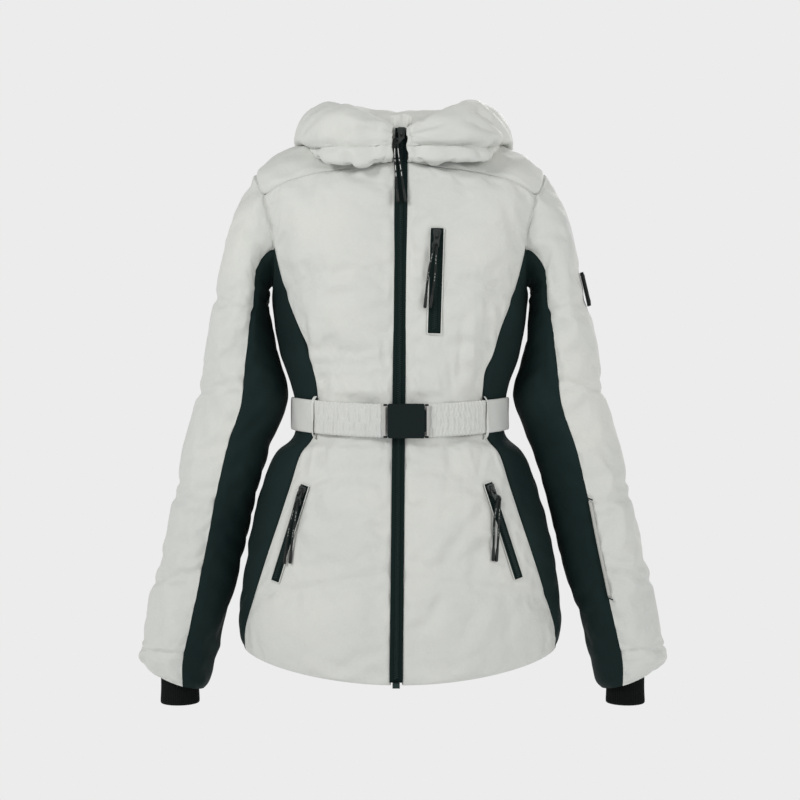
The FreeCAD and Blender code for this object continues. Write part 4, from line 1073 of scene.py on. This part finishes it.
def build_pocket_zip(zip_name):
    top, bottom, out, half_width = zip_axes(zip_name)
    line = top + np.linspace(0, 1, 40)[:, None] * (bottom - top)
    tape = build_tape(zip_name + "_tape", line, out, half_width, 0.4, 1.4)
    attach(tape, "jacket_body", "zip_black", zip_name)
    attach(build_teeth(zip_name + "_chain", line, out), "jacket_body", "teeth_black")
    up = (top - bottom) / np.linalg.norm(top - bottom)
    cross = np.cross(up, out)
    # Welt round the window: a rolled edge that stands a little proud of the tape.
    past, reach = up * WELT_PAST_END, cross * (half_width + WELT_PAST_SIDE)
    corners = [top + past - reach, top + past + reach, bottom - past + reach, bottom - past - reach]
    points = np.concatenate([a + np.linspace(0, 1, n)[:-1, None] * (b - a)
                             for a, b, n in zip(corners, corners[1:] + corners[:1], (7, 36, 7, 36))])
    welt = rolled_edge(zip_name + "_welt", points, out, WHITE, width=1.5, height=0.5)
    attach(welt, "jacket_body", "shell_white")


def rolled_edge(name, path, out, finish, width, height):
    """Closed loop of soft piping along a path."""
    tangent = np.roll(path, -1, 0) - np.roll(path, 1, 0)
    tangent /= np.linalg.norm(tangent, axis=1, keepdims=True)
    side = np.cross(tangent, out)
    angle = np.radians(np.arange(0, 360, 45))
    ring = (path[:, None] + side[:, None] * (np.cos(angle) * width / 2)[None, :, None]
            + out * (np.sin(angle) * height)[None, :, None])
    count, sides = ring.shape[:2]
    index = np.arange(count * sides).reshape(count, sides)
    index = wrapped(np.concatenate([index, index[:1]], 0))
    return subdivide(make_object(name, ring, quads(index), [finish]))


# ---- pull cords -----------------------------------------------------------------------------
# Routes from the tab's ring down, in millimetres, as in the CAD model.
CORDS = {
    "main": (
        ((-6.5, -97.1, -28), (-6.9, -96.4, -44), (-5.6, -97.0, -60), (-4.8, -97.8, -75), (-3.6, -98.8, -88)),
        ((-3.3, -97.1, -28), (-2.0, -96.4, -44), (0.4, -97.0, -59), (2.8, -97.8, -74), (4.6, -98.8, -88)),
    ),
    "chest": (
        ((42.5, -110.2, -160), (39.6, -110.3, -172), (36.3, -111.0, -188), (33.8, -112.0, -205),
         (32.3, -113.0, -221)),
        ((45.8, -110.2, -160), (44.5, -110.8, -175), (44.0, -111.6, -190), (42.3, -112.6, -206),
         (40.0, -113.4, -221)),
    ),
    "hand_left": (
        ((121.9, -107.0, -474), (118.6, -109.0, -489), (116.4, -113.4, -505), (116.2, -116.4, -520),
         (115.6, -119.2, -534)),
        ((124.5, -105.3, -474), (123.4, -107.0, -491), (122.6, -110.8, -507), (121.9, -114.0, -522),
         (120.6, -117.0, -535)),
    ),
    "hand_right": (
        ((-127.3, -105.1, -478), (-129.6, -104.2, -494), (-131.8, -105.6, -509), (-134.0, -107.2, -523),
         (-135.2, -109.4, -538)),
        ((-129.9, -103.3, -478), (-133.8, -101.6, -492), (-137.6, -101.6, -507), (-140.2, -103.0, -523),
         (-142.2, -105.0, -539)),
    ),
}
# Length of each strand along its route, in millimetres.
CORD_LENGTHS = {
    "main": (60.2, 60.6), "chest": (62.0, 61.4),
    "hand_left": (61.8, 62.3), "hand_right": (60.9, 62.6),
}
CORD_RADIUS, TIP_LENGTH = 1.5, 17.0
TIP_PROFILE = ((0, 1.62), (0.06, 1.75), (0.55, 1.95), (0.9, 2.1), (0.97, 1.8), (1.0, 1.1))
MAIN_DASHES = ((0.10, 0.27), (0.31, 0.36), (0.46, 0.60), (0.66, 0.76))
DASHES = ((0.14, 0.18), (0.20, 0.26), (0.29, 0.33), (0.58, 0.62), (0.65, 0.71), (0.74, 0.77))
TRACER_HALF_ANGLE, TRACER_RISE, TRACER_SINK = 0.26, 0.12, 0.3
KNOT_RADIUS = 1.2


def nurbs(name, route, radius, finish):
    curve = bpy.data.curves.new(name, "CURVE")
    curve.dimensions = "3D"
    curve.bevel_depth = radius * MM
    curve.bevel_resolution = 5
    curve.use_fill_caps = True
    curve.materials.append(finish)
    spline = curve.splines.new("NURBS")
    spline.points.add(len(route) - 1)
    for point, place in zip(spline.points, route):
        point.co = (*(c * MM for c in place), 1)
    spline.order_u = 3
    spline.use_endpoint_u = True
    made = bpy.data.objects.new(name, curve)
    bpy.context.collection.objects.link(made)
    return made


def centreline(cord):
    """Points that a cord's spline really follows, in millimetres."""
    bare = cord.copy()
    bare.data = cord.data.copy()
    bare.data.bevel_depth = 0
    mesh = bpy.data.meshes.new_from_object(bare)
    points = np.array([v.co for v in mesh.vertices]) / MM
    bpy.data.objects.remove(bare)
    return points


def lathe(name, start, along, length, profile, finish):
    """Round piece with a profile of (share of its length, radius)."""
    along = along / np.linalg.norm(along)
    side = np.cross(along, (0.0, 1.0, 0.0))
    side /= np.linalg.norm(side)
    other = np.cross(along, side)
    points, faces, around = [], [], 16
    for share, radius in profile:
        for k in range(around):
            angle = 2 * math.pi * k / around
            points.append(start + along * share * length
                          + (side * math.cos(angle) + other * math.sin(angle)) * radius)
    for ring in range(len(profile) - 1):
        for k in range(around):
            a, b = ring * around + k, ring * around + (k + 1) % around
            faces.append((a, a + around, b + around, b))
    faces.append(tuple(range(around)))
    faces.append(tuple(reversed(range((len(profile) - 1) * around, len(profile) * around))))
    return make_object(name, np.array(points), faces, [finish])


def tracer(name, line, out, dashes, finish):
    """Raised woven dashes along the front of a cord."""
    points, faces = [], []
    share = np.linspace(0, 1, len(line))
    for begin, end in dashes:
        at = np.linspace(begin, end, 5)
        path = np.stack([np.interp(at, share, line[:, axis]) for axis in range(3)], -1)
        tangent = path[-1] - path[0]
        side = np.cross(tangent / np.linalg.norm(tangent), out)
        start = len(points)
        for radius in (CORD_RADIUS + TRACER_RISE, CORD_RADIUS - TRACER_SINK):
            for place in path:
                for angle in (-TRACER_HALF_ANGLE, 0.0, TRACER_HALF_ANGLE):
                    points.append(place + (side * math.sin(angle) + out * math.cos(angle)) * radius)
        index = np.arange(15).reshape(5, 3) + start
        faces += quads(index) + [face[::-1] for face in quads(index + 15)] + rim_quads(outline(index), 15)
    return make_object(name, np.array(points), faces, [finish])


def build_pull(name, strands):
    body = name + "_pull"
    out = np.array([0.0, -1.0, 0.0])
    loops = []
    for letter, route, length in zip("ab", strands, CORD_LENGTHS[name]):
        cord = nurbs(f"{name}_cord_{letter}", route, CORD_RADIUS, CORD)
        end, before = np.array(route[-1]), np.array(route[-2])
        tip = lathe(f"{name}_cord_tip_{letter}", end - (end - before) * 0.05, end - before, TIP_LENGTH,
                    TIP_PROFILE, TIP)
        marks = (MAIN_DASHES, TRACER_WHITE) if name == "main" else (DASHES, TRACER)
        dashes = tracer(f"{name}_cord_tracer_{letter}", centreline(cord), out, *marks)
        for piece in (cord, tip, dashes):
            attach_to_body(piece, body)
        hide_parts(name + "_pull_cords")
        loops.append(np.array(route[0]))
    low, high = (np.array(corner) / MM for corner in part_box(name + "_pull_tab"))
    left, right = loops
    middle = (left + right) / 2
    rim = np.array([middle[0], high[1], low[2] + 1.0])
    route = (left + (0, 0.4, -1.5), left + (0.3, 0.2, 1.6), middle + (0, 1.0, 3.4),
             middle + (0, 2.4, 3.2), rim + (0, 1.4, -2.0), middle + (0, 0.8, -4.4),
             middle + (0, -0.6, -2.4))
    attach(nurbs(name + "_cord_loop", route, KNOT_RADIUS, CORD), body, "cord_black")


# ---- belt -----------------------------------------------------------------------------------
BELT_HALF_WIDTH, BELT_FRONT, BELT_BACK, BELT_T = 141.5, 117.5, 101.5, 3.0
BELT_H, BELT_SIDE_Z, BELT_FRONT_DROP = 42.0, -368.0, 9.0
BELT_POWER = 2.2                    # of the belt's superellipse seen from above
LOOP_DEG, LOOP_H = 48.3, 55.0
BELT_OVERLAP = 3.5                  # millimetres that the webbing runs in behind the buckle
SHIRRING_ROWS, GATHER_HEIGHT = 7, 0.8


def belt_place(theta, across, depth=0.0):
    """Point of the belt at an angle and a height from its centre line."""
    x, y = section(theta, BELT_HALF_WIDTH - depth, BELT_FRONT - depth, BELT_BACK - depth, BELT_POWER)
    c = np.cos(np.radians(theta))
    drop = np.where(c > 0, BELT_FRONT_DROP * c * c, 0)
    return np.stack(np.broadcast_arrays(x, y, BELT_SIDE_Z - drop + across), -1)


def belt_angle(x):
    q = (abs(x) / BELT_HALF_WIDTH) ** BELT_POWER
    return math.copysign(math.degrees(math.atan((q / (1 - q)) ** (1 / BELT_POWER))), x)


def belt_part(name, start, end, ruched, seed, step_deg):
    """Elastic webbing; the ruched part is gathered across by rows of shirring."""
    rng = np.random.default_rng(seed)
    count = int(abs(end - start) / step_deg)
    theta, across = np.meshgrid(np.linspace(start, end, count + 1), np.linspace(BELT_H / 2, -BELT_H / 2, 25))
    depth = np.zeros_like(theta)
    arc = (theta - start) / (end - start)
    if ruched:
        band = (BELT_H / 2 - across) / BELT_H * SHIRRING_ROWS
        for row in range(SHIRRING_ROWS):
            weight = np.clip(1 - np.abs(band - row - 0.5) * 1.25, 0, 1)
            phase = np.cumsum(rng.uniform(0.55, 1.45, count + 1)) * step_deg
            wave = np.sin(phase * 3.3 + rng.uniform(0, 6))[None, :]
            depth -= weight * GATHER_HEIGHT * (1 + wave)
        long_wave = np.cumsum(rng.uniform(0.6, 1.4, count + 1)) * step_deg
        depth -= 0.45 * np.sin(long_wave * 2.1)[None, :] * np.cos(across / 14.0)
        plain = np.minimum(arc * abs(end - start), (1 - arc) * abs(end - start))
        depth *= ease((plain - 1.4) / 1.0)
    else:
        depth -= 0.35 * np.sin(theta * 0.35 + across / 11.0)
    edge = BELT_H / 2 - np.abs(across)
    depth += 0.9 * (1 - ease(edge / 2.4))
    wave_edge = 0.35 * np.sin(theta * 2.9) * np.sign(across) * (1 - ease(edge / 3.0)) * ruched
    outer = belt_place(theta, across + wave_edge, depth)
    inner = belt_place(theta, across + wave_edge, BELT_T - 0.3 + 0 * depth)
    return subdivide(closed(name, outer, inner, False, [ELASTIC]))


def belt_loop(name, theta):
    """Narrow folded loop over the belt, sewn to the shell above and below and a little twisted."""
    t = np.linspace(-1, 1, 29)
    bow = 1 - np.abs(t) ** 6
    height = -1.5 + t[::-1] * LOOP_H / 2
    depth = 4.2 - bow * (4.2 + 2.1)
    half = 2.4 + 0.3 * np.cos(t * 5)
    twist = 1.1 * np.sin(t * 2.2)
    angle = np.radians(np.arange(0, 360, 36))
    rows = []
    for h, d, w, turn in zip(height, depth, half, twist):
        centre = belt_place(theta, h, d)
        ahead = belt_place(theta + 1, h, d) - centre
        ahead /= np.linalg.norm(ahead)
        out = np.array([ahead[1], -ahead[0], 0.0])
        a = ahead * math.cos(turn * 0.4) + out * math.sin(turn * 0.4)
        b = np.cross(a, (0, 0, 1.0))
        rows.append(centre + np.cos(angle)[:, None] * a * w + np.sin(angle)[:, None] * b * 0.75)
    ring = np.array(rows)
    count, sides = ring.shape[:2]
    ends = [tuple(range(sides)), tuple(reversed(range((count - 1) * sides, count * sides)))]
    faces = quads(wrapped(np.arange(count * sides).reshape(count, sides))) + ends
    strap = subdivide(make_object(name, ring, faces, [ELASTIC]))
    attach(strap, "jacket_body", "belt_elastic", "belt_loops")


def build_belt():
    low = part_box("belt_elastic_left")[0]
    right_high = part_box("belt_elastic_right")[1]
    left_start = belt_angle(low.x / MM - BELT_OVERLAP)
    right_start = belt_angle(right_high.x / MM + BELT_OVERLAP)
    left = belt_part("belt_ruched_left", left_start, LOOP_DEG, ruched=1, seed=3, step_deg=0.4)
    anchor = belt_place(LOOP_DEG, 0.0) * MM
    attach(left, "jacket_body", "belt_elastic", "belt_elastic_left")
    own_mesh(left)
    right = belt_part("belt_ruched_right", -LOOP_DEG, right_start, ruched=1, seed=5, step_deg=0.4)
    back = belt_part("belt_back_band", LOOP_DEG, 360 - LOOP_DEG, ruched=0, seed=7, step_deg=2.0)
    attach(right, "jacket_body", "belt_elastic", "belt_elastic_right")
    attach(back, "jacket_body", "belt_elastic", "belt_back")
    for name, theta in (("left", LOOP_DEG), ("right", -LOOP_DEG), ("back", 180.0)):
        belt_loop("belt_loop_" + name, theta)


# ---- small trim -----------------------------------------------------------------------------
PASS_ZIP_START, PASS_ZIP_LENGTH = 0.58, 0.19
HANG_LOOP_HALF_SPAN, HANG_LOOP_DROP, HANG_LOOP_TOP_Z, HANG_LOOP_HALF_WIDTH = 27.5, 21.5, 4, 2.5
TACK_SHIFT, TACK_LENGTH = (-3.5, -2.6, 1.5), 7.0
TACK_PROFILE = ((0, 0.5), (0.1, 0.9), (0.9, 0.9), (1.0, 0.5))


def build_trim():
    point = sleeve("left")
    v, u = np.meshgrid(np.linspace(0, 1, 9), np.linspace(0, 1, 9), indexing="ij")
    base = point(-24 + 30 * u, BADGE_START + BADGE_LENGTH * v)
    normal = outward(base, False)
    rim = np.minimum.reduce([u, 1 - u, v, 1 - v])
    lift = 5.6 + 0.5 * (rim < 0.13) - 0.7 * (rim < 0.01)
    badge = closed("sleeve_badge_moulded", base + normal * lift[..., None], base + normal * 2.0,
                   False, [RUBBER])
    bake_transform(badge)
    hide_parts("sleeve_badge")
    v, u = np.meshgrid(np.linspace(0, 1, 40), np.linspace(0, 1, 5), indexing="ij")
    s = PASS_ZIP_START + PASS_ZIP_LENGTH * v
    base = point(360 - seam_angle(s) + 2.2 + 4.5 * (u - 0.5), s)
    normal = outward(base, False)
    ribs_out = 0.25 * np.sin(v * 640)
    lift = (1.1 + ribs_out) * (1 - np.abs(2 * u - 1) ** 2)
    coil = closed("pass_zip_coil", base + normal * lift[..., None], base - normal * 2.5, False, [THREAD])
    attach(coil, "sleeve_left", "pass_zip", "pass_zip")
    for number, share in enumerate((-0.02, 1.02)):
        s = PASS_ZIP_START + PASS_ZIP_LENGTH * share
        centre = point(360 - seam_angle(s) + 3, s)
        tack = lathe(f"pass_zip_tack_{number}", centre + TACK_SHIFT, np.array([1.0, 0, -0.35]),
                     TACK_LENGTH, TACK_PROFILE, TIP)
        attach(tack, "sleeve_left", "badge_black")
    loop_low, loop_high = (np.array(corner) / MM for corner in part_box("hang_loop"))
    span = np.radians(np.linspace(0, 180, 33))
    path = np.stack([HANG_LOOP_HALF_SPAN * np.cos(span), 0 * span + (loop_low[1] + loop_high[1]) / 2,
                     HANG_LOOP_TOP_Z - HANG_LOOP_DROP * np.sin(span)], -1)
    normal = np.stack([np.cos(span), 0 * span, -np.sin(span)], -1)
    across = np.linspace(-1, 1, 5)
    face = path[:, None] + normal[:, None] * (across * HANG_LOOP_HALF_WIDTH)[None, :, None]
    bulge = (0.8 - 0.4 * np.abs(across))[None, :, None] * np.array([0, -1.0, 0])
    strap = subdivide(closed("hang_loop_webbing", face + bulge, face - bulge, False, [TAPE]))
    attach(strap, "jacket_body", "zip_black", "hang_loop")


CAD_FINISHES = {
    "main_zip_retainer": TEETH, "buckle_housing": BUCKLE, "buckle_tongue": BUCKLE,
    "buckle_bar_left": STEEL, "buckle_bar_right": STEEL,
    **{pull + part: ENAMEL for pull in CORDS for part in ("_slider", "_pull_tab")},
}


def finish_cad_nodes():
    for name, material in CAD_FINISHES.items():
        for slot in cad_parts[name].material_slots:
            slot.material = material


# ---- stage ----------------------------------------------------------------------------------
BACKDROP_GLOW = 0.50
WALL, CEILING = 0.838, 0.30
FLOOR_DROP, FLOOR_HALF = 1.15, 4.0


def build_stage():
    backdrop = plain_material("backdrop", (0.5, 0.5, 0.5), 0.9)
    shader = backdrop.node_tree.nodes["Principled BSDF"]
    shader.inputs["Emission Color"].default_value = (1, 1, 1, 1)
    shader.inputs["Emission Strength"].default_value = BACKDROP_GLOW
    floor_z = cad_box[0][2] - FLOOR_DROP
    corners = np.array([(-1, -1, 0), (1, -1, 0), (1, 1, 0), (-1, 1, 0)]) * FLOOR_HALF
    floor = make_object("floor", (corners + (0, 0, floor_z)) / MM, [(0, 1, 2, 3)], [backdrop])
    bpy.context.scene.world = studio_world()
    bpy.context.scene.view_settings.view_transform = "Standard"


def studio_world():
    """Pale walls at eye level, and a dimmer ceiling, so that folds take some shade."""
    world = bpy.data.worlds.new("studio")
    world.use_nodes = True
    tree = world.node_tree
    place = tree.nodes.new("ShaderNodeTexCoord")
    height = tree.nodes.new("ShaderNodeSeparateXYZ")
    tree.links.new(place.outputs["Generated"], height.inputs[0])
    ramp = tree.nodes.new("ShaderNodeMapRange")
    tree.links.new(height.outputs["Z"], ramp.inputs["Value"])
    for label, value in (("From Min", 0.24), ("From Max", 0.62), ("To Min", WALL), ("To Max", CEILING)):
        ramp.inputs[label].default_value = value
    tree.links.new(ramp.outputs["Result"], tree.nodes["Background"].inputs["Color"])
    return world


def area_light(name, place, aim, size, power):
    data = bpy.data.lights.new(name, "AREA")
    data.shape = "RECTANGLE"
    data.size, data.size_y = size
    data.energy = power
    lamp = bpy.data.objects.new(name, data)
    lamp.location = place
    lamp.rotation_euler = (Vector(aim) - Vector(place)).to_track_quat("-Z", "Y").to_euler()
    bpy.context.collection.objects.link(lamp)


CAMERA_DISTANCE, CAMERA_LENS, CAMERA_HEIGHT = 2.4, 83.0, -0.351


def build_camera_and_lights():
    data = bpy.data.cameras.new("camera")
    data.lens = CAMERA_LENS
    data.sensor_width = 36.0
    data.clip_end = 60
    camera = bpy.data.objects.new("camera", data)
    camera.location = (0, -CAMERA_DISTANCE, CAMERA_HEIGHT)
    camera.rotation_euler = (math.radians(90), 0, 0)
    bpy.context.collection.objects.link(camera)
    bpy.context.scene.camera = camera
    area_light("key_light", (-2.0, -1.9, 1.3), (0, 0, -0.3), (0.8, 0.8), 42)
    area_light("fill_light", (2.1, -1.7, 0.6), (0, 0, -0.4), (1.0, 1.0), 20)
    area_light("back_light", (0.9, 2.2, 1.2), (0, 0, -0.3), (1.2, 1.2), 30)


build_camera_and_lights()
build_stage()
for pull_name, strands in CORDS.items():
    build_pull(pull_name, strands)
build_torso()
build_sleeves()
build_hood()
build_chin_guard()
build_main_zip()
for pocket in POCKET_ZIPS:
    build_pocket_zip(pocket)
build_belt()
build_trim()
finish_cad_nodes()
